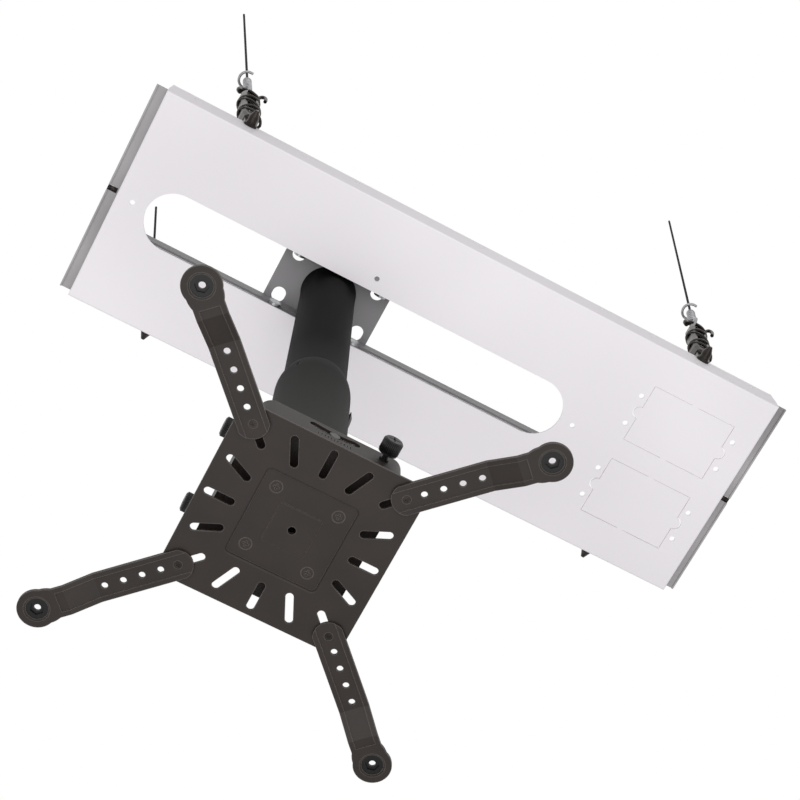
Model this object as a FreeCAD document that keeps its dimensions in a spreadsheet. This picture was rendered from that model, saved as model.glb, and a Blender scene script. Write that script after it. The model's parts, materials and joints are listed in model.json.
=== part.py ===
import FreeCAD, Part
import math
import os
import Sketcher

# Projector mount for a suspended ceiling, in millimetres.
# X runs along the plate's slot, Z is up, and the origin is the middle of the ceiling plate's underside.

SIZES = {
    # ceiling plate: a folded tray that replaces part of a ceiling tile
    "plate_length": 603.0,
    "plate_width": 202.0,
    "plate_gauge": 1.5,
    "flange_height": 33.0,
    "flange_chamfer": 1.5,
    "flange_hole_height": 24.0,
    "flange_hole_radius": 2.2,
    "flange_hole_near": 122.0,
    "flange_hole_mid": 173.5,
    "flange_hole_inset": 24.7,
    "hook_height": 13.2,
    "hook_reach": 10.4,
    "hook_return": 3.0,
    "hook_inset": 1.5,
    "hook_notch": 5.0,
    "slot_centre": -69.8,
    "slot_run": 177.4,
    "slot_radius": 26.3,
    "locating_hole_radius": 2.3,
    "locating_hole_gap": 13.2,
    "middle_hole_offset": 38.3,
    # outlet knock-outs: laser slits that leave a panel hanging on two tabs
    "outlet_inset": 66.7,
    "outlet_spread": 38.6,
    "outlet_length": 82.2,
    "outlet_width": 57.0,
    "outlet_slit": 0.5,
    "outlet_ear_radius": 5.9,
    "outlet_tab": 3.0,
    "outlet_hole_spread": 47.1,
    "outlet_hole_pitch": 28.8,
    "outlet_hole_radius": 2.4,
    # rails beside the slot
    "rail_length": 440.0,
    "rail_gauge": 2.0,
    "rail_height": 22.5,
    "rail_foot": 15.5,
    "window_length": 390.0,
    "window_low": 2.5,
    "window_high": 9.7,
    # sliding bracket
    "head_offset": -99.0,
    "bracket_length": 102.0,
    "bracket_gauge": 2.5,
    "bracket_gap": 0.2,
    "bracket_skirt": 20.0,
    "bracket_ear": 4.0,
    "bracket_slot_radius": 6.0,
    "bracket_slot_near": 19.8,
    "bracket_slot_far": 22.2,
    "bracket_slot_offset": 38.6,
    "bracket_bore_clearance": 0.6,
    "socket_radius": 30.0,
    "socket_height": 12.0,
    "clamp_offset": 39.2,
    "clamp_radius": 2.5,
    "clamp_clearance": 0.1,
    "clamp_head_radius": 5.5,
    "clamp_head_height": 2.6,
    "clamp_nut_across": 8.0,
    "clamp_nut_height": 4.0,
    # drop pipe
    "pipe_radius": 24.15,
    "pipe_bore": 20.4,
    "pipe_top": 42.0,
    "pipe_bottom": -276.0,
    "thread_clearance": 0.05,
    "running_clearance": 0.06,
    # swivel column
    "column_radius": 28.5,
    "column_wall": 2.4,
    "column_top": -238.0,
    "column_neck": 24.0,
    "column_rim": 1.4,
    "column_bottom": -440.0,
    "stop_nut_height": 10.0,
    "stop_nut_gap": 0.3,
    "lock_drop": 44.0,
    "lock_angle": -4.0,
    "lock_radius": 4.0,
    "lock_head_radius": 9.0,
    "lock_crown_radius": 5.4,
    "lock_head_height": 2.0,
    "lock_socket": 4.0,
    "lock_socket_depth": 1.2,
    "grub_drop": 18.5,
    "grub_angle": -140.0,
    "grub_radius": 2.5,
    "grub_socket": 2.5,
    # pitch and roll joints
    "pivot_height": -420.0,
    "axle_radius": 4.0,
    "axle_head_radius": 6.5,
    "axle_head_height": 3.5,
    "axle_nut_across": 13.0,
    "axle_nut_height": 5.0,
    "cradle_gauge": 2.5,
    "cradle_gap": 0.5,
    "cradle_floor": -476.5,
    "cradle_ear": 13.0,
    "cradle_back": 38.0,
    "cradle_front": 48.0,
    "cradle_tab_top": -463.0,
    "cradle_spine": 14.0,
    "cradle_sleeve": 7.0,
    "guide_radius": 3.6,
    "guide_head_radius": 5.2,
    "guide_head_height": 2.0,
    "guide_clearance": 0.1,
    "guide_depth": 50.5,
    "guide_travel": 16.0,
    # tray
    "tray_half_length": 49.5,
    "tray_front": 55.0,
    "tray_back": 44.0,
    "tray_gauge": 2.0,
    "tray_corner": 9.0,
    "tray_top": -461.0,
    "tray_bottom": -487.0,
    "tray_ear": 14.0,
    "mark_count": 11.0,
    "mark_pitch": 2.2,
    "mark_width": 0.7,
    "mark_height": 4.0,
    "mark_short": 2.8,
    "mark_group": 5.0,
    "mark_depth": 0.5,
    "mark_drop": 6.8,
    # thumb screws
    "thumb_row": -470.8,
    "thumb_front": 34.0,
    "thumb_side": 28.4,
    "thumb_radius": 2.0,
    "knob_radius": 6.3,
    "knob_length": 10.0,
    "knob_standoff": 5.0,
    "knob_chamfer": 0.8,
    "knob_recess": 1.0,
    "knob_cross": 7.8,
    "collar_radius": 3.2,
    "collar_height": 1.4,
    "collar_gap": 0.1,
    # quick-release bracket
    "release_half_length": 50.5,
    "release_front": 53.5,
    "release_back": 42.0,
    "release_tab_left": 6.0,
    "release_tab_right": 9.0,
    "release_tab_reach": 57.0,
    "release_gauge": 2.0,
    "release_top": -489.0,
    "release_corner": 5.0,
    "cup_half": 30.0,
    "cup_corner": 6.0,
    "lug_width": 14.0,
    "lug_gap": 0.3,
    "lug_top": -463.5,
    # spider plate
    "spider_side": 126.5,
    "spider_corner": 3.0,
    "spider_gauge": 1.5,
    "spider_face": -507.7,
    "spider_hole": 2.6,
    "cup_hole": 3.0,
    "straight_slot_inner": 39.0,
    "straight_slot_outer": 59.5,
    "slant_slot_inner": 41.5,
    "slant_slot_outer": 62.3,
    "slant_angle": 25.0,
    "corner_slot_inner": 56.0,
    "corner_slot_outer": 95.0,
    "slot_width": 5.1,
    "platform_half": 32.2,
    "platform_rise": 1.5,
    "platform_corner": 3.0,
    "platform_bend": 1.4,
    "pad_half": 14.2,
    "pad_rise": 0.8,
    "pad_corner": 2.0,
    "pad_bend": 0.6,
    "plate_screw_offset": 21.2,
    "plate_screw_radius": 2.0,
    "flat_head_radius": 3.9,
    "flat_head_height": 0.9,
    "well_clearance": 0.1,
    "cross_length": 4.0,
    "cross_width": 0.9,
    "cross_depth": 0.5,
    # arms
    "arm_pivot": 73.5,
    "arm_gap": 0.1,
    "arm_gauge": 2.5,
    "arm_half_width": 9.8,
    "arm_tail": 9.6,
    "arm_tail_radius": 10.4,
    "arm_reach": 91.2,
    "arm_bend_start": 52.8,
    "arm_bend_end": 71.5,
    "arm_drop": 6.2,
    "arm_ring_radius": 12.5,
    "arm_neck_radius": 16.0,
    "arm_hole_first": 11.2,
    "arm_hole_pitch": 12.2,
    "arm_hole_count": 4.0,
    "arm_hole_radius": 2.1,
    "channel_half": 6.4,
    "channel_depth": 0.7,
    "channel_end": 77.0,
    "ring_recess_radius": 8.2,
    "ring_recess_depth": 0.8,
    "bushing_radius": 7.0,
    "bushing_fit": 0.03,
    "bushing_flange_radius": 9.6,
    "bushing_flange": 2.0,
    "bushing_hole": 2.2,
    "bushing_socket_across": 8.0,
    "bushing_recess": 1.2,
    "bushing_socket_depth": 1.2,
    "arm_screw_radius": 1.9,
    "arm_screw_clearance": 0.06,
    "arm_screw_head": 2.6,
    "arm_screw_head_height": 0.7,
    "arm_cross_length": 2.6,
    "arm_cross_width": 0.6,
    "arm_nut_across": 7.0,
    "arm_nut_height": 3.2,
    # hangers
    "hanger_inset": 75.0,
    "hanger_hole_height": 27.0,
    "hanger_hole_radius": 2.3,
    "lean_front": 6.0,
    "lean_back_left": 7.3,
    "lean_back_right": 10.0,
    "jaw_width": 12.0,
    "jaw_corner": 5.5,
    "jaw_cheek": 2.2,
    "jaw_gap": 0.3,
    "jaw_low": -5.0,
    "jaw_arch": 7.6,
    "jaw_top": 12.0,
    "jaw_pin_radius": 2.2,
    "jaw_pin_head": 4.4,
    "jaw_pin_shoulder": 9.5,
    "jaw_pin_end": 15.7,
    "jaw_pin_tip": 1.6,
    "shank_radius": 3.0,
    "shank_reach": 26.0,
    "barrel_start": 13.0,
    "barrel_length": 102.0,
    "barrel_waist": 9.0,
    "barrel_end": 6.0,
    "barrel_depth": 13.0,
    "barrel_boss": 15.0,
    "barrel_window": 4.4,
    "barrel_edge": 2.5,
    "eye_radius": 9.0,
    "eye_bar": 2.6,
    "eye_neck": 3.0,
    "eye_opening": 60.0,
    "wrap_bar": 1.5,
    "wrap_gap": 0.3,
    "wrap_turns": 4.0,
    "wrap_pitch": 10.5,
    "wrap_loop": 6.0,
    "wrap_tail": 6.5,
    "wire_radius": 1.2,
    "wire_top_left": 568.0,
    "wire_top_right": 700.0,
    "wire_top_back": 391.0,
}

document = FreeCAD.newDocument("ceiling_projector_mount")
sheet = document.addObject("Spreadsheet::Sheet", "Sizes")
for row, (alias, amount) in enumerate(SIZES.items(), start=1):
    sheet.set(f"A{row}", alias)
    sheet.set(f"B{row}", str(amount))
    sheet.setAlias(f"B{row}", alias)
document.recompute()

QUARTERS = (45.0, 135.0, 225.0, 315.0)
CORNERS = ((-1, -1), (1, -1), (-1, 1), (1, 1))
ALONG = {
    "x": FreeCAD.Rotation(FreeCAD.Vector(0, 1, 0), 90),
    "y": FreeCAD.Rotation(FreeCAD.Vector(1, 0, 0), -90),
    "z": FreeCAD.Rotation(),
}


class Size:
    """A length with the sheet formula that gives it, so that sums of lengths stay formulas."""

    def __init__(self, text, amount):
        self.text = text
        self.amount = amount

    def __float__(self):
        return self.amount

    def __neg__(self):
        return Size(f"(0 - {self.text})", -self.amount)

    def __add__(self, other):
        other = sized(other)
        return Size(f"({self.text} + {other.text})", self.amount + other.amount)

    def __sub__(self, other):
        other = sized(other)
        return Size(f"({self.text} - {other.text})", self.amount - other.amount)

    def __mul__(self, other):
        other = sized(other)
        return Size(f"({self.text} * {other.text})", self.amount * other.amount)

    def __truediv__(self, other):
        other = sized(other)
        return Size(f"({self.text} / {other.text})", self.amount / other.amount)

    def __radd__(self, other):
        return sized(other) + self

    def __rsub__(self, other):
        return sized(other) - self

    __rmul__ = __mul__


class Cells:
    """The sheet's cells by name."""

    def __getattr__(self, alias):
        return Size(f"Sizes.{alias}", SIZES[alias])


mm = Cells()


def sized(amount):
    """Any number as a Size."""
    if isinstance(amount, Size):
        return amount
    return Size(f"{amount:.9f}" if amount >= 0 else f"(0 - {-amount:.9f})", float(amount))


def root(amount):
    """Square root of a Size."""
    return Size(f"sqrt({amount.text})", math.sqrt(float(amount)))


def around(radius, angle, x=0.0, y=0.0):
    """The point at a radius and an angle in degrees round (x, y)."""
    turn = math.radians(float(angle))
    return radius * math.cos(turn) + x, radius * math.sin(turn) + y


def bind(thing, **sizes):
    """Tie an object's properties to the sheet."""
    for name, amount in sizes.items():
        thing.setExpression(name, sized(amount).text)
    return thing


def place(thing, x=0.0, y=0.0, z=0.0, turn=None):
    """Put an object at a point of the sheet's making, turned if asked."""
    spot = FreeCAD.Vector(float(x), float(y), float(z))
    thing.Placement = FreeCAD.Placement(spot, turn or FreeCAD.Rotation())
    for axis, amount in zip("xyz", (x, y, z)):
        thing.setExpression(f"Placement.Base.{axis}", sized(amount).text)
    return thing


# Solids from primitives and booleans


def box(x, y, z, turn=None):
    """A block between two formulas along each axis."""
    block = document.addObject("Part::Box", "Block")
    bind(block, Length=x[1] - x[0], Width=y[1] - y[0], Height=z[1] - z[0])
    return place(block, x[0], y[0], z[0], turn)


def rod(radius, low, high, axis="z", x=0.0, y=0.0, z=0.0):
    """A round bar along one axis between two formulas."""
    bar = document.addObject("Part::Cylinder", "Bar")
    bind(bar, Radius=radius, Height=high - low)
    start = {"x": (low, y, z), "y": (x, low, z), "z": (x, y, low)}[axis]
    return place(bar, *start, ALONG[axis])


def nut(across, low, high, axis="z", x=0.0, y=0.0, z=0.0):
    """A hexagon prism along one axis."""
    prism = document.addObject("Part::Prism", "Hexagon")
    prism.Polygon = 6
    bind(prism, Circumradius=across / math.sqrt(3.0), Height=high - low)
    start = {"x": (low, y, z), "y": (x, low, z), "z": (x, y, low)}[axis]
    return place(prism, *start, ALONG[axis])


def cone(low_radius, high_radius, low, high):
    """A taper along Z."""
    taper = document.addObject("Part::Cone", "Taper")
    bind(taper, Radius1=low_radius, Radius2=high_radius, Height=high - low)
    return place(taper, z=low)


def ring(radius, bar, turn=None, x=0.0, y=0.0, z=0.0, angle=360.0):
    """A round bar bent to a ring or to part of one."""
    bend = document.addObject("Part::Torus", "Ring")
    bind(bend, Radius1=radius, Radius2=bar, Angle3=angle)
    return place(bend, x, y, z, turn)


def fused(*pieces):
    """One solid from several."""
    joined = document.addObject("Part::MultiFuse", "Joined")
    joined.Shapes = list(pieces)
    return joined


def cut(base, *tools):
    """A solid less one or more others."""
    left = document.addObject("Part::Cut", "Left")
    left.Base = base
    left.Tool = tools[0] if len(tools) == 1 else fused(*tools)
    return left


def named(label, thing, x=0.0, y=0.0, z=0.0, turn=None):
    """Make an object a sub-part: its label names the file, and its placement seats it."""
    thing.Label = label
    place(thing, x, y, z, turn)
    parts.append(thing)
    return thing


parts = []

# Bodies from sketches

FLATS = {"xy": "XY_Plane", "xz": "XZ_Plane", "yz": "YZ_Plane"}


def body(label):
    """An empty body."""
    return document.addObject("PartDesign::Body", label)


def drawn(owner, plane, offset, shapes):
    """A sketch on one of the body's own planes, moved along the plane's normal."""
    flat = owner.newObject("Sketcher::SketchObject", "Outline")
    support = next(item for item in owner.Origin.OriginFeatures if item.Role == FLATS[plane])
    flat.AttachmentSupport = [(support, "")]
    flat.MapMode = "FlatFace"
    flat.setExpression("AttachmentOffset.Base.z", sized(offset).text)
    for shape in shapes:
        shape(flat)
    return flat


def feature(owner, kind, profile, length):
    """A pad or pocket of a sketch, added at the body's tip."""
    step = owner.newObject(f"PartDesign::{kind}", kind)
    step.Profile = profile
    bind(step, Length=length)
    profile.Visibility = False
    owner.Tip = step
    return step


def pad(owner, plane, low, high, *shapes):
    """Add sheet or block between two formulas along the plane's axis."""
    offset = -high if plane == "xz" else low
    return feature(owner, "Pad", drawn(owner, plane, offset, shapes), high - low)


def pocket(owner, plane, low, high, *shapes):
    """Take away between two formulas along the plane's axis."""
    offset = -low if plane == "xz" else high
    return feature(owner, "Pocket", drawn(owner, plane, offset, shapes), high - low)


def pin(flat, edge, end, x, y):
    """Hold one sketch point at two formulas."""
    for kind, amount in (("DistanceX", x), ("DistanceY", y)):
        amount = sized(amount)
        rule = flat.addConstraint(Sketcher.Constraint(kind, -1, 1, edge, end, amount.amount))
        flat.setExpression(f"Constraints[{rule}]", amount.text)


def end_near(flat, edge, spot):
    """Which end of an edge lies at a spot: 1 for its start, 2 for its end."""
    return min((1, 2), key=lambda end: (flat.getPoint(edge, end) - spot).Length)


def circle(x, y, radius):
    """A round outline."""
    def draw(flat):
        centre = FreeCAD.Vector(float(x), float(y), 0)
        edge = flat.addGeometry(Part.Circle(centre, FreeCAD.Vector(0, 0, 1), float(radius)))
        pin(flat, edge, 3, x, y)
        rule = flat.addConstraint(Sketcher.Constraint("Radius", edge, float(radius)))
        flat.setExpression(f"Constraints[{rule}]", sized(radius).text)
    return draw


def loop(*points):
    """A closed outline. A point is (x, y), or (x, y, radius, bulge) where an arc leads up to it."""
    def draw(flat):
        spots = [FreeCAD.Vector(float(point[0]), float(point[1]), 0) for point in points]
        edges = []
        for step, point in enumerate(points):
            start, end = spots[step - 1], spots[step]
            if len(point) == 2:
                edges.append(flat.addGeometry(Part.LineSegment(start, end)))
                continue
            edges.append(flat.addGeometry(Part.Arc(start, crown(start, end, *point[2:]), end)))
        for step, point in enumerate(points):
            edge, following = edges[step], edges[(step + 1) % len(edges)]
            here = end_near(flat, edge, spots[step])
            there = end_near(flat, following, spots[step])
            flat.addConstraint(Sketcher.Constraint("Coincident", edge, here, following, there))
            pin(flat, edge, here, point[0], point[1])
            if len(point) > 2:
                hold_arc(flat, edge, points[step - 1], point)
    return draw


def hold_arc(flat, edge, start, end):
    """Fix an arc whose ends are pinned: by its radius, or by its centre where it is a half circle."""
    across = float(end[0]) - float(start[0])
    along = float(end[1]) - float(start[1])
    if math.hypot(across, along) < float(end[2]) * 1.99:
        rule = flat.addConstraint(Sketcher.Constraint("Radius", edge, float(end[2])))
        flat.setExpression(f"Constraints[{rule}]", sized(end[2]).text)
        return
    kind, axis = ("DistanceY", 1) if abs(across) > abs(along) else ("DistanceX", 0)
    middle = (sized(start[axis]) + end[axis]) / 2
    rule = flat.addConstraint(Sketcher.Constraint(kind, -1, 1, edge, 3, middle.amount))
    flat.setExpression(f"Constraints[{rule}]", middle.text)


def crown(start, end, radius, bulge):
    """The middle of the shorter arc between two points, on the left (1) or right (-1) of the chord."""
    chord = end - start
    rise = float(radius) - math.sqrt(max(float(radius) ** 2 - chord.Length ** 2 / 4, 0.0))
    side = FreeCAD.Vector(-chord.y, chord.x, 0).normalize()
    return (start + end) / 2 + side * rise * bulge


def rectangle(x, y):
    """A plain rectangle between two formulas each way."""
    return loop((x[0], y[0]), (x[1], y[0]), (x[1], y[1]), (x[0], y[1]))


def rounded(x, y, radius):
    """A rectangle with round corners."""
    return loop(
        (x[1] - radius, y[0]), (x[1], y[0] + radius, radius, -1),
        (x[1], y[1] - radius), (x[1] - radius, y[1], radius, -1),
        (x[0] + radius, y[1]), (x[0], y[1] - radius, radius, -1),
        (x[0], y[0] + radius), (x[0] + radius, y[0], radius, -1),
    )


def stadium(start, end, radius):
    """A slot with round ends about two centres."""
    def draw(flat):
        spots = [FreeCAD.Vector(float(spot[0]), float(spot[1]), 0) for spot in (start, end)]
        run = (spots[1] - spots[0]).normalize()
        side = FreeCAD.Vector(-run.y, run.x, 0) * float(radius)
        bow = run * float(radius)
        near = flat.addGeometry(Part.Arc(spots[0] + side, spots[0] - bow, spots[0] - side))
        far = flat.addGeometry(Part.Arc(spots[1] - side, spots[1] + bow, spots[1] + side))
        for edge, spot in ((near, start), (far, end)):
            pin(flat, edge, 3, *spot)
        for corner in (-side, side):
            line = flat.addGeometry(Part.LineSegment(spots[0] + corner, spots[1] + corner))
            here = end_near(flat, near, spots[0] + corner)
            there = end_near(flat, far, spots[1] + corner)
            flat.addConstraint(Sketcher.Constraint("Tangent", near, here, line, 1))
            flat.addConstraint(Sketcher.Constraint("Tangent", far, there, line, 2))
        rule = flat.addConstraint(Sketcher.Constraint("Radius", near, float(radius)))
        flat.setExpression(f"Constraints[{rule}]", sized(radius).text)
    return draw


def soften(owner, radius, chosen):
    """Round the edges of the body that a test picks."""
    document.recompute()
    edges = owner.Tip.Shape.Edges
    picked = [f"Edge{count}" for count, edge in enumerate(edges, start=1) if chosen(edge)]
    tip = owner.Tip
    bend = owner.newObject("PartDesign::Fillet", "Bend")
    bend.Base = (tip, picked)
    bind(bend, Radius=radius)
    owner.Tip = bend
    return bend


def lathe(owner, *points):
    """Turn a closed outline of (radius, height) points round Z."""
    flat = drawn(owner, "xz", 0, [loop(*points)])
    turned = owner.newObject("PartDesign::Revolution", "Turned")
    turned.Profile = flat
    turned.ReferenceAxis = (flat, ["V_Axis"])
    turned.Angle = 360
    owner.Tip = turned
    return turned


# Ceiling plate


def knock_out(side):
    """Slits round one outlet panel, with screw ears in the short sides and two tabs left in."""
    middle = mm.plate_length / 2 - mm.outlet_inset, mm.outlet_spread * side
    half_x = mm.outlet_length / 2
    half_y = mm.outlet_width / 2
    slit = mm.outlet_slit
    tab = mm.outlet_tab
    ear = mm.outlet_ear_radius
    shapes = []
    for way in (-1, 1):
        along = middle[1] + half_y * way
        inner = along - slit * way
        shapes.append(rectangle((middle[0] - half_x, middle[0] - tab), sorted_pair(along, inner)))
        shapes.append(rectangle((middle[0] + tab, middle[0] + half_x), sorted_pair(along, inner)))
    for way in (-1, 1):
        edge = middle[0] + half_x * way
        inner = edge - slit * way
        low = middle[1] - half_y + slit * 2
        high = middle[1] + half_y - slit * 2
        bow = root(ear * ear - slit * slit)
        bay = ear - slit
        shapes.append(loop(
            (edge, low), (edge, middle[1] - bow), (edge, middle[1] + bow, ear, -way),
            (edge, high), (inner, high), (inner, middle[1] + bay),
            (inner, middle[1] - bay, bay, way), (inner, low),
        ))
    return shapes


def sorted_pair(first, second):
    """Two formulas, the lower first."""
    return (first, second) if float(first) < float(second) else (second, first)


def make_ceiling_plate():
    plate = body("ceiling_plate")
    half_x = mm.plate_length / 2
    half_y = mm.plate_width / 2
    gauge = mm.plate_gauge
    slope = half_x - mm.flange_chamfer
    pad(plate, "xy", 0, gauge, rectangle((-half_x, half_x), (-half_y, half_y)))
    hook_edge = half_y - mm.hook_inset
    for side in (-1, 1):
        wall = sorted_pair(half_y * side, (half_y - gauge) * side)
        pad(plate, "xz", *wall, loop(
            (-half_x, 0), (half_x, 0), (half_x, mm.hook_height), (slope, mm.flange_height),
            (-slope, mm.flange_height), (-half_x, mm.hook_height),
        ))
        end = half_x * side
        inner = (half_x - gauge) * side
        tip = (half_x + mm.hook_reach) * side
        lip = (half_x + mm.hook_reach - gauge) * side
        pad(plate, "xz", -hook_edge, hook_edge, loop(
            (end, 0), (end, mm.hook_height - gauge), (lip, mm.hook_height - gauge),
            (lip, mm.hook_height - mm.hook_return), (tip, mm.hook_height - mm.hook_return),
            (tip, mm.hook_height), (inner, mm.hook_height), (inner, 0),
        ))
    soften(plate, gauge, lambda edge: is_long_line_at(edge, y=float(half_y), z=0.0))
    holes = [stadium((mm.slot_centre - mm.slot_run, 0), (mm.slot_centre + mm.slot_run, 0), mm.slot_radius)]
    reach = mm.slot_run + mm.slot_radius + mm.locating_hole_gap
    spots = [(mm.slot_centre - reach, 0), (mm.slot_centre + reach, 0)]
    spots.append((mm.slot_centre, -mm.middle_hole_offset))
    for side in (-1, 1):
        for along in (-1, 1):
            for row in (-1, 1):
                height = mm.outlet_spread * side + mm.outlet_hole_pitch / 2 * row
                spots.append((half_x - mm.outlet_inset + mm.outlet_hole_spread * along, height))
    for spot in spots:
        holes.append(circle(*spot, mm.outlet_hole_radius if len(holes) > 3 else mm.locating_hole_radius))
    pocket(plate, "xy", 0, gauge, *holes)
    for side in (-1, 1):
        pocket(plate, "xy", 0, gauge, *knock_out(side))
    hanger_x = half_x - mm.hanger_inset
    rows = [circle(hanger_x * way, mm.hanger_hole_height, mm.hanger_hole_radius) for way in (-1, 1)]
    rows.append(circle(0, mm.flange_hole_height, mm.flange_hole_radius))
    for spread in (mm.flange_hole_near, mm.flange_hole_mid, half_x - mm.flange_hole_inset):
        for way in (-1, 1):
            rows.append(circle(spread * way, mm.flange_hole_height, mm.flange_hole_radius))
    pocket(plate, "xz", -half_y, half_y, *rows)
    tip = half_x + mm.hook_reach
    notch = mm.hook_notch
    low = mm.hook_height - mm.hook_return
    for side in (-1, 1):
        run = sorted_pair((tip - notch) * side, tip * side)
        pocket(plate, "xy", low, mm.hook_height, rectangle(run, (-notch / 2, notch / 2)))
    return named("ceiling_plate", plate)


def is_long_line_at(edge, y, z):
    """Whether an edge is a long straight one at a height and a distance from the middle."""
    if edge.Curve.TypeId != "Part::GeomLine" or edge.Length < y:
        return False
    return all(abs(abs(spot.Point.y) - y) < 0.01 and abs(spot.Point.z - z) < 0.01 for spot in edge.Vertexes)


def make_rail(label, side):
    """An angle beside the slot, with a long window for the clamp bolts."""
    rail = body(label)
    half = mm.rail_length / 2
    inner = mm.slot_radius * side
    outer = (mm.slot_radius + mm.rail_gauge) * side
    toe = (mm.slot_radius + mm.rail_gauge + mm.rail_foot) * side
    pad(rail, "yz", -half, half, loop(
        (inner, 0), (toe, 0), (toe, mm.rail_gauge), (outer, mm.rail_gauge),
        (outer, mm.rail_height), (inner, mm.rail_height),
    ))
    end = mm.window_length / 2
    window = rectangle((-end, end), (mm.window_low, mm.window_high))
    pocket(rail, "xz", *sorted_pair(inner, outer), window)
    return named(label, rail, mm.slot_centre, 0, mm.plate_gauge)


# Sliding bracket, clamp bolts and pipe

rail_top = mm.plate_gauge + mm.rail_height
skirt_inner = mm.slot_radius + mm.rail_gauge + mm.bracket_gap
skirt_outer = skirt_inner + mm.bracket_gauge
clamp_height = mm.plate_gauge + (mm.window_low + mm.window_high) / 2
bracket_top = rail_top + mm.bracket_gauge


def make_bracket():
    """A channel that rides on the rails, with the pipe's bore and four hand slots."""
    bracket = body("slide_bracket")
    half = mm.bracket_length / 2
    ear = half + mm.bracket_ear
    pad(bracket, "xy", 0, mm.bracket_gauge, rectangle((-half, half), (-skirt_outer, skirt_outer)))
    for side in (-1, 1):
        skirt = sorted_pair(skirt_inner * side, skirt_outer * side)
        pad(bracket, "xz", *skirt, rectangle((-ear, ear), (-mm.bracket_skirt, mm.bracket_gauge)))
    holes = [circle(0, 0, mm.pipe_radius + mm.bracket_bore_clearance)]
    for along, across in CORNERS:
        x = mm.bracket_slot_offset * along
        near = x, mm.bracket_slot_near * across
        far = x, mm.bracket_slot_far * across
        holes.append(stadium(near, far, mm.bracket_slot_radius))
    pocket(bracket, "xy", 0, mm.bracket_gauge, *holes)
    drop = clamp_height - rail_top
    hole = mm.clamp_radius + mm.clamp_clearance
    bolts = [circle(mm.clamp_offset * way, drop, hole) for way in (-1, 1)]
    pocket(bracket, "xz", -skirt_outer, skirt_outer, *bolts)
    return named("slide_bracket", bracket, mm.head_offset, 0, rail_top)


def make_pipe_socket():
    """The threaded ring that is welded on the bracket and holds the pipe."""
    socket = rod(mm.socket_radius, 0, mm.socket_height)
    bore = rod(mm.pipe_radius + mm.thread_clearance, 0, mm.socket_height)
    return named("pipe_socket", cut(socket, bore), mm.head_offset, 0, bracket_top)


def make_clamp_bolts():
    """Four round-headed bolts through the rail windows and the bracket's skirts."""
    shanks = []
    for along, across in CORNERS:
        x = mm.clamp_offset * along
        face = (mm.slot_radius - mm.clamp_clearance) * across
        tip = (skirt_outer + mm.clamp_nut_height + mm.clamp_radius) * across
        crown_face = face - mm.clamp_head_height * across
        shank = rod(mm.clamp_radius, *sorted_pair(face, tip), "y", x)
        head = rod(mm.clamp_head_radius, *sorted_pair(crown_face, face), "y", x)
        shanks.append(fused(shank, head))
    bolts = document.addObject("Part::Compound", "Bolts")
    bolts.Links = shanks
    return named("slide_bolts", bolts, mm.head_offset, 0, clamp_height)


def make_clamp_nuts():
    """The nuts outside the skirts."""
    rings = []
    for along, across in CORNERS:
        x = mm.clamp_offset * along
        face = skirt_outer * across
        tip = face + mm.clamp_nut_height * across
        hexagon = nut(mm.clamp_nut_across, *sorted_pair(face, tip), "y", x)
        bore = rod(mm.clamp_radius + mm.thread_clearance, *sorted_pair(face, tip), "y", x)
        rings.append(cut(hexagon, bore))
    nuts = document.addObject("Part::Compound", "Nuts")
    nuts.Links = rings
    return named("slide_nuts", nuts, mm.head_offset, 0, clamp_height)


def make_drop_pipe():
    pipe = body("drop_pipe")
    lathe(pipe, (mm.pipe_bore, mm.pipe_bottom), (mm.pipe_radius, mm.pipe_bottom),
          (mm.pipe_radius, mm.pipe_top), (mm.pipe_bore, mm.pipe_top))
    return named("drop_pipe", pipe, mm.head_offset)


# Swivel column

column_bore = mm.column_radius - mm.column_wall
neck_bore = mm.pipe_radius + mm.running_clearance
neck_bottom = mm.column_top - mm.column_neck
screw_hole = mm.thread_clearance


def make_stop_nut():
    """The ring nut on the pipe's end that carries the column's neck."""
    top = neck_bottom - mm.stop_nut_gap
    low = top - mm.stop_nut_height
    bore = rod(mm.pipe_radius + mm.thread_clearance, low, top)
    return named("pipe_stop_nut", cut(rod(column_bore - mm.stop_nut_gap, low, top), bore), mm.head_offset)


def radial(thing, angle, z):
    """Lay a solid made along Z out along a radius at one height of the column."""
    spin = FreeCAD.Rotation(FreeCAD.Vector(0, 0, 1), float(angle))
    return place(thing, 0, 0, z, spin * ALONG["x"])


def make_column():
    """A tube with a turned neck and a domed shoulder, bored for the pitch axle."""
    column = body("Tube")
    shoulder = mm.column_radius - neck_bore - mm.column_rim
    dome = (shoulder * shoulder + mm.column_neck * mm.column_neck) / (shoulder * 2)
    lathe(
        column, (neck_bore, neck_bottom), (neck_bore, mm.column_top),
        (neck_bore + mm.column_rim, mm.column_top),
        (mm.column_radius, neck_bottom, dome, 1),
        (mm.column_radius, mm.column_bottom), (column_bore, mm.column_bottom), (column_bore, neck_bottom),
    )
    reach = mm.column_radius + mm.lock_head_height
    axle = rod(mm.axle_radius + mm.running_clearance, -reach, reach, "x", z=mm.pivot_height)
    lock = radial(rod(mm.lock_radius + screw_hole, 0, reach), mm.lock_angle, mm.column_top - mm.lock_drop)
    grub = radial(rod(mm.grub_radius + screw_hole, 0, reach), mm.grub_angle, mm.column_top - mm.grub_drop)
    return named("swivel_column", cut(column, axle, lock, grub), mm.head_offset)


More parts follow.
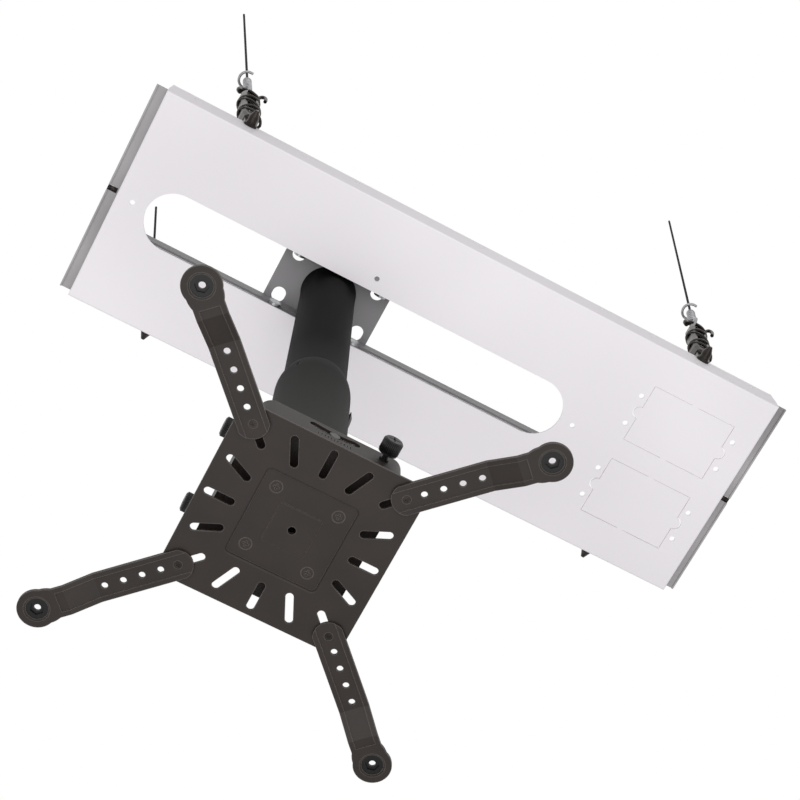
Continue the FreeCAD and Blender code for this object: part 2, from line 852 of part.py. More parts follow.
def make_lock_screw():
    """A button-head screw in the column's side, under the pipe's end, with a hexagon socket."""
    tip = neck_bore + mm.collar_gap
    head = mm.column_radius
    top = head + mm.lock_head_height
    shank = rod(mm.lock_radius, tip, head)
    button = cone(mm.lock_head_radius, mm.lock_crown_radius, head, top)
    socket = nut(mm.lock_socket, top - mm.lock_socket_depth, top)
    turn = FreeCAD.Rotation(FreeCAD.Vector(0, 0, 1), float(mm.lock_angle)) * ALONG["x"]
    height = mm.column_top - mm.lock_drop
    return named("swivel_lock_screw", cut(fused(shank, button), socket), mm.head_offset, 0, height, turn)


def make_grub_screw():
    """A short screw without a head in the neck."""
    tip = neck_bore + mm.collar_gap
    end = mm.column_radius - mm.stop_nut_gap * 2
    socket = nut(mm.grub_socket, end - mm.grub_radius, end)
    turn = FreeCAD.Rotation(FreeCAD.Vector(0, 0, 1), float(mm.grub_angle)) * ALONG["x"]
    height = mm.column_top - mm.grub_drop
    screw = cut(rod(mm.grub_radius, tip, end), socket)
    return named("neck_grub_screw", screw, mm.head_offset, 0, height, turn)


# Tilt joints, built round the point where both axles would cross

ear_inner = mm.column_radius + mm.cradle_gap
ear_outer = ear_inner + mm.cradle_gauge
floor_top = mm.cradle_floor - mm.pivot_height
floor_low = floor_top - mm.cradle_gauge
back_outer = mm.cradle_back + mm.cradle_gauge
front_outer = mm.cradle_front + mm.cradle_gauge
tray_back_inner = mm.tray_back - mm.tray_gauge
guide_drop = -mm.guide_depth


def make_cradle():
    """A folded cradle: floor, two side ears for the pitch axle, a back ear and a front tab."""
    cradle = body("tilt_cradle")
    ear = mm.cradle_ear
    spine = mm.cradle_spine
    pad(cradle, "xy", floor_low, floor_top, loop(
        (-spine, -front_outer), (spine, -front_outer), (spine, -ear_outer), (ear_outer, -ear_outer / 2),
        (ear_outer, ear_outer / 2), (spine, ear_outer), (spine, back_outer), (-spine, back_outer),
        (-spine, ear_outer), (-ear_outer, ear_outer / 2), (-ear_outer, -ear_outer / 2), (-spine, -ear_outer),
    ))
    shank = mm.axle_radius
    for side in (-1, 1):
        wall = sorted_pair(ear_inner * side, ear_outer * side)
        pad(cradle, "yz", *wall, loop(
            (-ear_outer / 2, floor_low), (ear_outer / 2, floor_low), (ear, 0), (-ear, 0, ear, -1)))
        pocket(cradle, "yz", *wall, circle(0, 0, shank + mm.thread_clearance))
    back = mm.cradle_back, back_outer
    pad(cradle, "xz", *back, loop((-spine, floor_low), (spine, floor_low), (ear, 0), (-ear, 0, ear, -1)))
    pocket(cradle, "xz", *back, circle(0, 0, shank + mm.thread_clearance))
    tab_top = mm.cradle_tab_top - mm.pivot_height
    tab = -front_outer, -mm.cradle_front
    pad(cradle, "xz", *tab, rectangle((-spine, spine), (floor_low, tab_top)))
    pocket(cradle, "xz", *tab, circle(0, guide_drop, mm.guide_radius + mm.thread_clearance))
    return named("tilt_cradle", cradle, mm.head_offset, 0, mm.pivot_height)


def make_pitch_axle():
    """A shouldered bolt across the column, with its head outside one ear."""
    tip = ear_outer + mm.axle_nut_height + mm.knob_chamfer
    shank = rod(mm.axle_radius, -ear_outer, tip, "x")
    head = rod(mm.axle_head_radius, -ear_outer - mm.axle_head_height, -ear_outer, "x")
    return named("pitch_axle", fused(shank, head), mm.head_offset, 0, mm.pivot_height)


def make_pitch_nut():
    low = ear_outer
    high = ear_outer + mm.axle_nut_height
    bore = rod(mm.axle_radius + mm.thread_clearance, low, high, "x")
    return named("pitch_nut", cut(nut(mm.axle_nut_across, low, high, "x"), bore),
                 mm.head_offset, 0, mm.pivot_height)


def make_roll_axle():
    """A rivet from the cradle's back ear through the tray's ear, with a sleeve between them."""
    inner = mm.cradle_back
    outer = mm.tray_back
    sleeve = tray_back_inner - mm.lug_gap
    shank = rod(mm.axle_radius, inner, outer, "y")
    collar = rod(mm.cradle_sleeve, back_outer, sleeve, "y")
    head = rod(mm.axle_head_radius, inner - mm.axle_head_height, inner, "y")
    rivet = rod(mm.axle_head_radius, outer + mm.lug_gap, outer + mm.axle_head_height, "y")
    neck = rod(mm.axle_radius, outer, outer + mm.lug_gap, "y")
    return named("roll_axle", fused(shank, collar, head, neck, rivet), mm.head_offset, 0, mm.pivot_height)


def make_guide_pin():
    """The pin that rides in the tray's front slot."""
    shank = rod(mm.guide_radius, -mm.tray_front, -mm.cradle_front, "y", z=guide_drop)
    head = rod(mm.guide_head_radius, -mm.cradle_front, -mm.cradle_front + mm.guide_head_height, "y",
               z=guide_drop)
    return named("guide_pin", fused(shank, head), mm.head_offset, 0, mm.pivot_height)


# Tray, with its height measured from the tilt point

thumb_z = mm.thumb_row - mm.pivot_height
thumb_hole = mm.thumb_radius + mm.running_clearance


def make_tray():
    """A folded frame with round corners, a tall ear at the back and the roll scale at the front."""
    tray = body("tray")
    low = mm.tray_bottom - mm.pivot_height
    high = mm.tray_top - mm.pivot_height
    half_x = mm.tray_half_length
    front_y = -mm.tray_front
    back_y = mm.tray_back
    gauge = mm.tray_gauge
    pad(
        tray, "xy", low, high,
        rounded((-half_x, half_x), (front_y, back_y), mm.tray_corner),
        rounded((gauge - half_x, half_x - gauge), (front_y + gauge, back_y - gauge), mm.tray_corner - gauge),
    )
    ear = mm.tray_ear
    foot = ear + mm.cradle_ear
    pad(tray, "xz", tray_back_inner, back_y, loop(
        (-foot, high - gauge), (foot, high - gauge), (foot, high),
        (ear, 0), (-ear, 0, ear, -1), (-foot, high),
    ))
    hole = circle(0, 0, mm.axle_radius + mm.running_clearance)
    pocket(tray, "xz", tray_back_inner, back_y, hole)
    front = front_y, front_y + gauge
    slot_half = mm.guide_radius + mm.guide_clearance
    pocket(tray, "xz", *front, guide_slot(slot_half), circle(mm.thumb_front, thumb_z, thumb_hole))
    sides = [circle(mm.thumb_side * way, thumb_z, thumb_hole) for way in (-1, 1)]
    pocket(tray, "yz", -half_x, gauge - half_x, *sides)
    marks = []
    base = guide_drop - mm.mark_drop
    count = int(float(mm.mark_count))
    for step in range(count):
        middle = mm.mark_pitch * (step - (count - 1) / 2)
        edges = middle - mm.mark_width / 2, middle + mm.mark_width / 2
        height = mm.mark_height if step % int(float(mm.mark_group)) == 0 else mm.mark_short
        marks.append(rectangle(edges, (base - height, base)))
    pocket(tray, "xz", front_y, front_y + mm.mark_depth, *marks)
    return named("tray", tray, mm.head_offset, 0, mm.pivot_height)


def guide_slot(half_height):
    """The bent slot that limits the roll, with round ends."""
    start = 270.0 - SIZES["guide_travel"]
    stop = 270.0 + SIZES["guide_travel"]
    outer = mm.guide_depth + half_height
    inner = mm.guide_depth - half_height
    return loop(
        (*around(inner, start), inner, 1), (*around(outer, start), half_height, -1),
        (*around(outer, stop), outer, -1), (*around(inner, stop), half_height, -1),
    )


def make_thumb_screw(label, x, y, turn):
    """A captive knob with a cross recess; its axis points outwards along local Z from the wall."""
    start = -mm.tray_gauge - mm.lug_gap - mm.release_gauge
    base = mm.collar_gap
    knob_low = mm.knob_standoff
    knob_high = mm.knob_standoff + mm.knob_length
    shank = rod(mm.thumb_radius, start, knob_low)
    collar = rod(mm.collar_radius, base, base + mm.collar_height)
    knob = rod(mm.knob_radius, knob_low, knob_high - mm.knob_chamfer)
    tip = cone(mm.knob_radius, mm.knob_radius - mm.knob_chamfer, knob_high - mm.knob_chamfer, knob_high)
    long = mm.knob_cross / 2
    thin = mm.cross_width / 2
    deep = knob_high - mm.knob_recess
    across = box((-long, long), (-thin, thin), (deep, knob_high))
    upright = box((-thin, thin), (-long, long), (deep, knob_high))
    screw = cut(fused(shank, collar, knob, tip), across, upright)
    return named(label, screw, mm.head_offset + x, y, mm.thumb_row, turn)


# Quick-release bracket, spider and their screws

plate_top = mm.spider_face + mm.spider_gauge
platform_face = mm.spider_face + mm.platform_rise
platform_top = plate_top + mm.platform_rise
cup_floor = platform_top + mm.release_gauge


def make_release_bracket():
    """A plate with a pressed cup that reaches the spider, and three lugs inside the tray's walls."""
    bracket = body("release_bracket")
    gauge = mm.release_gauge
    low = mm.release_top - gauge
    half_x = mm.release_half_length
    front_y = -mm.release_front
    back_y = mm.release_back
    outer = mm.cup_half
    inner = mm.cup_half - gauge
    corner = mm.cup_corner
    pad(bracket, "xy", low, mm.release_top,
        rounded((-half_x, half_x), (front_y, back_y), mm.release_corner),
        rounded((-inner, inner), (-inner, inner), corner - gauge))
    tab = back_y - mm.release_corner, mm.release_tab_reach
    pad(bracket, "xy", low, mm.release_top, rectangle((-mm.release_tab_left, mm.release_tab_right), tab))
    pad(bracket, "xy", platform_top, low,
        rounded((-outer, outer), (-outer, outer), corner),
        rounded((-inner, inner), (-inner, inner), corner - gauge))
    pad(bracket, "xy", platform_top, cup_floor, rounded((-outer, outer), (-outer, outer), corner))
    half = mm.lug_width / 2
    wall = mm.tray_front - mm.tray_gauge - mm.lug_gap
    front = -wall, gauge - wall
    pad(bracket, "xz", *front, rectangle((mm.thumb_front - half, mm.thumb_front + half), (low, mm.lug_top)))
    pocket(bracket, "xz", *front, circle(mm.thumb_front, mm.thumb_row, thumb_hole))
    edge = mm.tray_half_length - mm.tray_gauge - mm.lug_gap
    side = -edge, gauge - edge
    rows = [mm.thumb_side * way for way in (-1, 1)]
    pad(bracket, "yz", *side, *[rectangle((row - half, row + half), (low, mm.lug_top)) for row in rows])
    pocket(bracket, "yz", *side, *[circle(row, mm.thumb_row, thumb_hole) for row in rows])
    offset = mm.plate_screw_offset
    hole = mm.plate_screw_radius + screw_hole
    pocket(bracket, "xy", platform_top, cup_floor, circle(0, 0, mm.cup_hole),
           *[circle(offset * along, offset * across, hole) for along, across in CORNERS])
    return named("release_bracket", bracket, mm.head_offset)


def make_spider_plate():
    """A square plate, pressed up in the middle, with slots and wells for the flush screws."""
    gauge = mm.spider_gauge
    half = mm.spider_side / 2
    rise = mm.platform_rise
    spider = body("spider_plate")
    pad(spider, "xy", 0, gauge, rounded((-half, half), (-half, half), mm.spider_corner))
    pad(spider, "xy", gauge, gauge + rise, rectangle(*[(-mm.platform_half, mm.platform_half)] * 2))
    rim = mm.platform_half - gauge
    pocket(spider, "xy", 0, rise, rounded((-rim, rim), (-rim, rim), mm.platform_corner))
    inner = mm.pad_half
    pad(spider, "xy", rise - mm.pad_rise, rise, rounded((-inner, inner), (-inner, inner), mm.pad_corner))
    soften(spider, mm.platform_bend, lambda edge: is_square_rim(edge, float(rim), 0.0))
    soften(spider, mm.pad_bend, lambda edge: is_square_rim(edge, float(inner), float(rise - mm.pad_rise)))
    radius = mm.slot_width / 2
    slots = []
    for turn in (0.0, 90.0, 180.0, 270.0):
        slots.append((mm.straight_slot_inner, mm.straight_slot_outer, turn))
        slots.append((mm.corner_slot_inner, mm.corner_slot_outer, turn + 45.0))
        slots.append((mm.slant_slot_inner, mm.slant_slot_outer, turn + SIZES["slant_angle"]))
        slots.append((mm.slant_slot_inner, mm.slant_slot_outer, turn - SIZES["slant_angle"]))
    outlines = [stadium(around(near + radius, angle), around(far - radius, angle), radius)
                for near, far, angle in slots]
    offset = mm.plate_screw_offset
    hole = mm.plate_screw_radius + screw_hole
    outlines.extend(circle(offset * along, offset * across, hole) for along, across in CORNERS)
    outlines.append(circle(0, 0, mm.spider_hole))
    pocket(spider, "xy", 0, gauge + rise, *outlines)
    well = mm.flat_head_radius + mm.well_clearance
    pocket(spider, "xy", rise, rise + mm.flat_head_height + mm.well_clearance,
           *[circle(offset * along, offset * across, well) for along, across in CORNERS])
    return named("spider_plate", spider, mm.head_offset, 0, mm.spider_face)


def is_square_rim(edge, half, z):
    """Whether an edge lies on a square's outline at a height."""
    spots = [spot.Point for spot in edge.Vertexes]
    level = all(abs(spot.z - z) < 0.01 for spot in spots)
    return level and all(abs(max(abs(spot.x), abs(spot.y)) - half) < 0.01 for spot in spots)


def make_plate_screws():
    """Four flush screws from under the platform, up into the cup's floor."""
    screws = []
    thin = mm.cross_width / 2
    long = mm.cross_length / 2
    for along, across in CORNERS:
        x = mm.plate_screw_offset * along
        y = mm.plate_screw_offset * across
        shank = rod(mm.plate_screw_radius, 0, cup_floor - platform_face + mm.spider_gauge, x=x, y=y)
        head = rod(mm.flat_head_radius, 0, mm.flat_head_height, x=x, y=y)
        bars = box((x - long, x + long), (y - thin, y + thin), (0, mm.cross_depth))
        uprights = box((x - thin, x + thin), (y - long, y + long), (0, mm.cross_depth))
        screws.append(cut(fused(shank, head), bars, uprights))
    group = document.addObject("Part::Compound", "Screws")
    group.Links = screws
    return named("plate_screws", group, mm.head_offset, 0, platform_face)


# Arms, drawn along X from the pivot with the top of the flat at zero


def side_view(start, end, top, low, drop):
    """The arm from the side: flat, a joggle down, flat again."""
    bend = mm.arm_bend_start, mm.arm_bend_end
    return loop(
        (start, low), (bend[0], low), (bend[1], low - drop), (end, low - drop),
        (end, top - drop), (bend[1], top - drop), (bend[0], top), (start, top),
    )


def make_arm(label, angle):
    """A pressed arm with a shallow channel, spare pivot holes and a ring for the bushing."""
    arm = body(label)
    half = mm.arm_half_width
    reach = mm.arm_reach
    ring_radius = mm.arm_ring_radius
    wide = ring_radius
    low = -mm.arm_gauge
    pad(arm, "xz", -wide, wide, side_view(-mm.arm_tail, reach + ring_radius, 0, low, mm.arm_drop))
    neck = mm.arm_neck_radius
    run = root((ring_radius + neck) * (ring_radius + neck) - (half + neck) * (half + neck))
    share = ring_radius / (ring_radius + neck)
    neck_x = reach - run
    touch_x = reach - run * share
    touch_y = (half + neck) * share
    tail = mm.arm_tail - mm.arm_tail_radius + root(mm.arm_tail_radius * mm.arm_tail_radius - half * half)
    rim = mm.arm_tail + ring_radius
    deep = low - mm.arm_drop
    pocket(
        arm, "xy", deep, 0,
        rectangle((-rim, reach + rim), (-rim, rim)),
        loop((neck_x, -half), (touch_x, -touch_y, neck, -1), (reach + ring_radius, 0, ring_radius, -1),
             (touch_x, touch_y, ring_radius, -1), (neck_x, half, neck, -1),
             (-tail, half), (-tail, -half, mm.arm_tail_radius, -1)),
    )
    channel = mm.channel_half
    step = low + mm.channel_depth
    pocket(arm, "xz", -channel, channel,
           side_view(low - mm.arm_tail, mm.channel_end, step, low - mm.channel_depth, mm.arm_drop))
    holes = [circle(0, 0, mm.arm_screw_radius + mm.arm_screw_clearance)]
    for count in range(int(float(mm.arm_hole_count))):
        holes.append(circle(mm.arm_hole_first + mm.arm_hole_pitch * count, 0, mm.arm_hole_radius))
    holes.append(circle(reach, 0, mm.bushing_radius))
    pocket(arm, "xy", deep, 0, *holes)
    pocket(arm, "xy", deep, deep + mm.ring_recess_depth, circle(reach, 0, mm.ring_recess_radius))
    well = mm.arm_screw_head + mm.arm_screw_clearance
    pocket(arm, "xy", low, step + mm.arm_screw_head_height + mm.well_clearance, circle(0, 0, well))
    spin = FreeCAD.Rotation(FreeCAD.Vector(0, 0, 1), angle)
    x, y = around(mm.arm_pivot, angle, mm.head_offset)
    return named(label, arm, x, y, mm.spider_face - mm.arm_gap, spin)


def make_arm_screw(number, angle):
    """The pivot screw, flush in the arm's channel, and its nut above the spider."""
    low = mm.channel_depth - mm.arm_gauge - mm.arm_gap
    shank_top = mm.spider_gauge + mm.arm_gap + mm.arm_nut_height + mm.knob_chamfer
    shank = rod(mm.arm_screw_radius, low, shank_top)
    head = rod(mm.arm_screw_head, low, low + mm.arm_screw_head_height)
    thin = mm.arm_cross_width / 2
    long = mm.arm_cross_length / 2
    bars = box((-long, long), (-thin, thin), (low, low + mm.cross_depth))
    uprights = box((-thin, thin), (-long, long), (low, low + mm.cross_depth))
    x, y = around(mm.arm_pivot, angle, mm.head_offset)
    spin = FreeCAD.Rotation(FreeCAD.Vector(0, 0, 1), angle)
    screw = cut(fused(shank, head), bars, uprights)
    named(f"arm_screw_{number}", screw, x, y, mm.spider_face, spin)
    nut_low = mm.spider_gauge + mm.arm_gap
    hexagon = nut(mm.arm_nut_across, nut_low, nut_low + mm.arm_nut_height)
    bore = rod(mm.arm_screw_radius + mm.thread_clearance, nut_low, nut_low + mm.arm_nut_height)
    return named(f"arm_nut_{number}", cut(hexagon, bore), x, y, mm.spider_face, spin)


def make_bushing(number, angle):
    """A flanged bushing set back in the arm's ring, with a hexagon pocket below."""
    low = mm.bushing_recess - mm.arm_gauge - mm.arm_drop
    top = -mm.arm_drop
    sleeve = rod(mm.bushing_radius - mm.bushing_fit, low, top)
    flange = rod(mm.bushing_flange_radius, top, top + mm.bushing_flange)
    hole = rod(mm.bushing_hole, low, top + mm.bushing_flange)
    socket = nut(mm.bushing_socket_across, low, low + mm.bushing_socket_depth)
    spin = FreeCAD.Rotation(FreeCAD.Vector(0, 0, 1), angle)
    x, y = around(mm.arm_pivot + mm.arm_reach, angle, mm.head_offset)
    piece = cut(fused(sleeve, flange), hole, socket)
    return named(f"bushing_{number}", piece, x, y, mm.spider_face - mm.arm_gap, spin)


# Hangers, drawn upright from the pin in the plate's flange and then leaned outwards

barrel_top = mm.barrel_start + mm.barrel_length
eye_centre = barrel_top + mm.eye_neck + mm.eye_bar + mm.eye_radius
eye_crown = eye_centre + mm.eye_radius
wrap_radius = mm.wire_radius + mm.wrap_bar + mm.wrap_gap
loop_centre = eye_crown + mm.wrap_loop - mm.eye_bar - mm.wrap_bar - mm.wrap_gap
wrap_start = loop_centre + mm.wrap_loop
wrap_height = mm.wrap_turns * mm.wrap_pitch


def lean_of(along, across):
    """How far a hanger leans outwards; each back one has its own lean."""
    if across < 0:
        return mm.lean_front
    return mm.lean_back_left if along < 0 else mm.lean_back_right


def seat_hanger(label, thing, along, across):
    """Lean one hanger piece outwards from its hole in the flange."""
    lean = FreeCAD.Rotation(FreeCAD.Vector(0, 1, 0), along * float(lean_of(along, across)))
    y = (mm.plate_width / 2 - mm.plate_gauge / 2) * across
    x = (mm.plate_length / 2 - mm.hanger_inset) * along
    return named(label, thing, x, y, mm.hanger_hole_height, lean)


def make_jaw(across):
    """A fork over the flange with a threaded shank, and a cross pin with a tapered tail outwards."""
    half = mm.jaw_width / 2
    inner = mm.plate_gauge / 2 + mm.jaw_gap
    outer = inner + mm.jaw_cheek
    fork = body("Fork")
    pad(fork, "yz", -half, half, loop(
        (inner, mm.jaw_low), (outer, mm.jaw_low), (outer, mm.jaw_top), (-outer, mm.jaw_top),
        (-outer, mm.jaw_low), (-inner, mm.jaw_low), (-inner, mm.jaw_arch), (inner, mm.jaw_arch),
    ))
    soften(fork, mm.jaw_corner, lambda edge: is_jaw_corner(edge, float(half), float(mm.jaw_low)))
    cross_pin = rod(mm.jaw_pin_radius, -outer - mm.knob_chamfer, outer + mm.knob_chamfer, "y")
    collar = rod(mm.jaw_pin_head, *sorted_pair(outer * across, mm.jaw_pin_shoulder * across), "y")
    tail = document.addObject("Part::Cone", "Tail")
    bind(tail, Radius1=mm.jaw_pin_head, Radius2=mm.jaw_pin_tip, Height=mm.jaw_pin_end - mm.jaw_pin_shoulder)
    outwards = FreeCAD.Rotation(FreeCAD.Vector(1, 0, 0), -90.0 * across)
    place(tail, 0, mm.jaw_pin_shoulder * across, 0, outwards)
    shank = rod(mm.shank_radius, mm.jaw_top - mm.jaw_cheek, mm.jaw_top + mm.shank_reach)
    return fused(fork, cross_pin, collar, tail, shank)


def is_jaw_corner(edge, half, low):
    """Whether an edge is one of the fork's four lower corners, which run through its cheeks."""
    spots = [spot.Point for spot in edge.Vertexes]
    flat = all(abs(spot.z - low) < 0.01 and abs(abs(spot.x) - half) < 0.01 for spot in spots)
    return flat and abs(spots[0].x - spots[-1].x) < 0.01


def make_barrel():
    """A faceted open body, bored through both ends for the shanks."""
    barrel = body("Barrel")
    low = mm.barrel_start
    top = barrel_top
    boss = mm.barrel_boss
    wide = mm.barrel_waist
    narrow = mm.barrel_end
    half = mm.barrel_depth / 2
    pad(barrel, "xz", -half, half, loop(
        (-narrow, low), (narrow, low), (wide, low + boss), (wide, top - boss),
        (narrow, top), (-narrow, top), (-wide, top - boss), (-wide, low + boss),
    ))
    window = mm.barrel_window
    pocket(barrel, "xz", -half, half, stadium((0, low + boss + window), (0, top - boss - window), window))
    document.recompute()
    outline = [edge for edge in barrel.Tip.Shape.Edges if is_barrel_rim(edge, float(half), float(narrow))]
    names = [f"Edge{count}" for count, edge in enumerate(barrel.Tip.Shape.Edges, start=1)
             if any(edge.isSame(other) for other in outline)]
    tip = barrel.Tip
    facets = barrel.newObject("PartDesign::Chamfer", "Facets")
    facets.Base = (tip, names)
    bind(facets, Size=mm.barrel_edge)
    barrel.Tip = facets
    bore = rod(mm.shank_radius + mm.running_clearance, low, top)
    return cut(barrel, bore)


def is_barrel_rim(edge, half, narrow):
    """Whether an edge runs along the barrel's outer outline on its front or back face."""
    if edge.Curve.TypeId != "Part::GeomLine":
        return False
    spots = [spot.Point for spot in edge.Vertexes]
    outside = all(abs(spot.x) > narrow - 0.01 for spot in spots)
    return outside and all(abs(abs(spot.y) - half) < 0.01 for spot in spots)


def make_eye():
    """The upper shank, bent over into an open hook."""
    shank_low = barrel_top - mm.shank_reach
    shank = rod(mm.shank_radius, shank_low, barrel_top + mm.eye_neck + mm.eye_bar)
    standing = FreeCAD.Rotation(FreeCAD.Vector(1, 0, 0), 90)
    start = FreeCAD.Rotation(FreeCAD.Vector(0, 1, 0), 90.0)
    hook = ring(mm.eye_radius, mm.eye_bar, start * standing, z=eye_centre, angle=360.0 - mm.eye_opening)
    return fused(shank, hook)


def make_wrap():
    """The tie wire: a loop through the hook, four turns round the hanger wire, and a loose tail."""
    sideways = FreeCAD.Rotation(FreeCAD.Vector(0, 1, 0), 90)
    bow = ring(mm.wrap_loop, mm.wrap_bar, sideways, z=loop_centre)
    coil = document.addObject("Part::Helix", "Coil")
    bind(coil, Pitch=mm.wrap_pitch, Height=wrap_height, Radius=wrap_radius)
    place(coil, z=wrap_start)
    section = document.addObject("Part::Circle", "Section")
    bind(section, Radius=mm.wrap_bar)
    place(section, wrap_radius, 0, wrap_start, ALONG["y"])
    turns = document.addObject("Part::Sweep", "Turns")
    turns.Sections = [section]
    turns.Spine = (coil, ["Edge1"])
    turns.Solid = True
    turns.Frenet = True
    tail = ring(mm.wrap_tail, mm.wrap_bar, x=wrap_radius - mm.wrap_tail, z=wrap_start + wrap_height,
                angle=250.0)
    return fused(bow, turns, tail)


def make_wire(along, across):
    """The straight hanger wire, cut off bare at its top."""
    top = mm.wire_top_left if along < 0 else mm.wire_top_right
    if across > 0:
        top = mm.wire_top_back
    lean = math.cos(math.radians(float(lean_of(along, across))))
    end = (top - mm.hanger_hole_height) / lean
    snip = end - mm.wire_radius
    shaft = rod(mm.wire_radius, wrap_start + mm.wrap_bar + mm.wrap_gap, snip)
    return fused(shaft, cone(mm.wire_radius, mm.wire_radius / 2, snip, end))


def make_hanger(number, along, across):
    seat_hanger(f"hanger_jaw_{number}", make_jaw(across), along, across)
    seat_hanger(f"turnbuckle_{number}", make_barrel(), along, across)
    seat_hanger(f"hanger_eye_{number}", make_eye(), along, across)
    seat_hanger(f"wire_wrap_{number}", make_wrap(), along, across)
    seat_hanger(f"hanger_wire_{number}", make_wire(along, across), along, across)


def check_and_write():
    """Refuse a broken object or shape, then write one file per sub-part."""
    document.recompute()
    broken = [thing for thing in document.Objects if {"Invalid", "Error"} & set(thing.State)]
    if broken:
        names = [f"{thing.Name} in {[user.Label for user in thing.InList]}" for thing in broken]
        raise RuntimeError("failed: " + ", ".join(names))
    os.makedirs("parts", exist_ok=True)
    for thing in parts:
        shape = thing.Shape
        if shape.isNull() or not shape.isValid() or not shape.Solids:
            raise RuntimeError(f"{thing.Label} has no sound shape")
        shape.exportStep(f"parts/{thing.Label}.step")
        print(f"{thing.Label}: {len(shape.Solids)} solid(s), {shape.Volume:.1f} cubic mm")


make_ceiling_plate()
make_rail("slot_rail_front", -1)
make_rail("slot_rail_back", 1)
make_bracket()
make_pipe_socket()
make_clamp_bolts()
make_clamp_nuts()
make_drop_pipe()
make_stop_nut()
make_column()
make_lock_screw()
make_grub_screw()
make_cradle()
make_pitch_axle()
make_pitch_nut()
make_roll_axle()
make_guide_pin()
make_tray()
forwards = FreeCAD.Rotation(FreeCAD.Vector(1, 0, 0), 90)
leftwards = FreeCAD.Rotation(FreeCAD.Vector(0, 1, 0), -90)
make_thumb_screw("thumb_screw_front", mm.thumb_front, -mm.tray_front, forwards)
make_thumb_screw("thumb_screw_left_front", -mm.tray_half_length, -mm.thumb_side, leftwards)
make_thumb_screw("thumb_screw_left_back", -mm.tray_half_length, mm.thumb_side, leftwards)
make_release_bracket()
make_spider_plate()
make_plate_screws()
for number, angle in enumerate(QUARTERS, start=1):
    make_arm(f"arm_{number}", angle)
    make_arm_screw(number, angle)
    make_bushing(number, angle)
for number, (along, across) in enumerate(CORNERS, start=1):
    make_hanger(number, along, across)
check_and_write()
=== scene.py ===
import bmesh
import bpy
import json
import math
from mathutils import Matrix, Vector


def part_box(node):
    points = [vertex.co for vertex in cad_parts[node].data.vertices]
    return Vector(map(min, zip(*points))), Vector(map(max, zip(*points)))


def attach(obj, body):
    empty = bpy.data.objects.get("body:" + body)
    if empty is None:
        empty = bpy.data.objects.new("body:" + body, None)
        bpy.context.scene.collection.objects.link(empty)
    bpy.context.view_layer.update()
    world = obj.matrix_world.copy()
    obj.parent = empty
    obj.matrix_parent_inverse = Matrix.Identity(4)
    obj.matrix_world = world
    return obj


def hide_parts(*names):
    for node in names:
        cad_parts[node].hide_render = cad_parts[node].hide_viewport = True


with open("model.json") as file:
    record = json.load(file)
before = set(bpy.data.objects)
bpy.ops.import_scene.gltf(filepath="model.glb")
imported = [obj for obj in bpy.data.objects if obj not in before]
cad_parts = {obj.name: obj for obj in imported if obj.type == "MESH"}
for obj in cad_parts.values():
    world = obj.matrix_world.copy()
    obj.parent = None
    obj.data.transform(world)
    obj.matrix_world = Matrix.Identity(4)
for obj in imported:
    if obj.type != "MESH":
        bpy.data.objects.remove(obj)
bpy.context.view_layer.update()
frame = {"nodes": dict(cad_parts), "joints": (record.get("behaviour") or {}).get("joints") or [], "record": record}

nodes = frame["nodes"]
mm = 0.001  # the scene is in metres, the values below are in millimetres
print("frame loaded:", len(nodes), "nodes")


# Colour and node helpers

colourA, colourB, mixedOut = 6, 7, 2  # places of the Mix node's colour sockets


def linear(code):
    # sRGB hex to linear RGBA
    channels = [int(code[at:at + 2], 16) / 255 for at in (1, 3, 5)]
    return [c / 12.92 if c <= 0.04045 else ((c + 0.055) / 1.055) ** 2.4 for c in channels] + [1.0]


def addNode(tree, kind, settings=None, inputs=None, links=None):
    # one node, its settings, its socket values, and links into its sockets as (node, output)
    made = tree.nodes.new(kind)
    for setting, value in (settings or {}).items():
        setattr(made, setting, value)
    for socket, value in (inputs or {}).items():
        made.inputs[socket].default_value = value
    for socket, (source, output) in (links or {}).items():
        tree.links.new(source.outputs[output], made.inputs[socket])
    return made


def startMaterial(name):
    material = bpy.data.materials.new(name)
    material.use_nodes = True
    material.node_tree.nodes.clear()
    return material, material.node_tree


def finishMaterial(tree, shader):
    addNode(tree, "ShaderNodeOutputMaterial", links={"Surface": (shader, "BSDF")})


# What lays painted highlight, painted shade and painted light over a surface's colour, and its patterns; a colour
# is handed on as (node, output)

shadeSpread = (0.3, 0.7)  # the part of a pattern over which one shade turns into the other


def twoShades(tree, pattern, low, high):
    # a pattern drawn in two close shades
    share = addNode(tree, "ShaderNodeMapRange", inputs={"From Min": shadeSpread[0], "From Max": shadeSpread[1]},
                    links={"Value": (pattern, "Fac")})
    return addNode(tree, "ShaderNodeMix", {"data_type": "RGBA"}, {colourA: linear(low), colourB: linear(high)},
                   {"Factor": (share, "Result")}), mixedOut


def paintedEdgeHighlight(tree, colour, edge):
    # painted highlight: a paler line along edges and folds, where the rounded normal turns away from the face's
    # own, and the cosine of that turn falls past "from" and on to "to"
    rounded = addNode(tree, "ShaderNodeBevel", {"samples": 4}, {"Radius": edge["wideMm"] * mm})
    face = addNode(tree, "ShaderNodeNewGeometry")
    turned = addNode(tree, "ShaderNodeVectorMath", {"operation": "DOT_PRODUCT"},
                     links={0: (rounded, "Normal"), 1: (face, "Normal")})
    highlighted = addNode(tree, "ShaderNodeMapRange",
                   inputs={"From Min": edge["from"], "From Max": edge["to"], "To Max": edge["much"]},
                   links={"Value": (turned, "Value")})
    return addNode(tree, "ShaderNodeMix", {"data_type": "RGBA"}, {colourB: linear(edge["colour"])},
                   {"Factor": (highlighted, "Result"), colourA: colour}), mixedOut


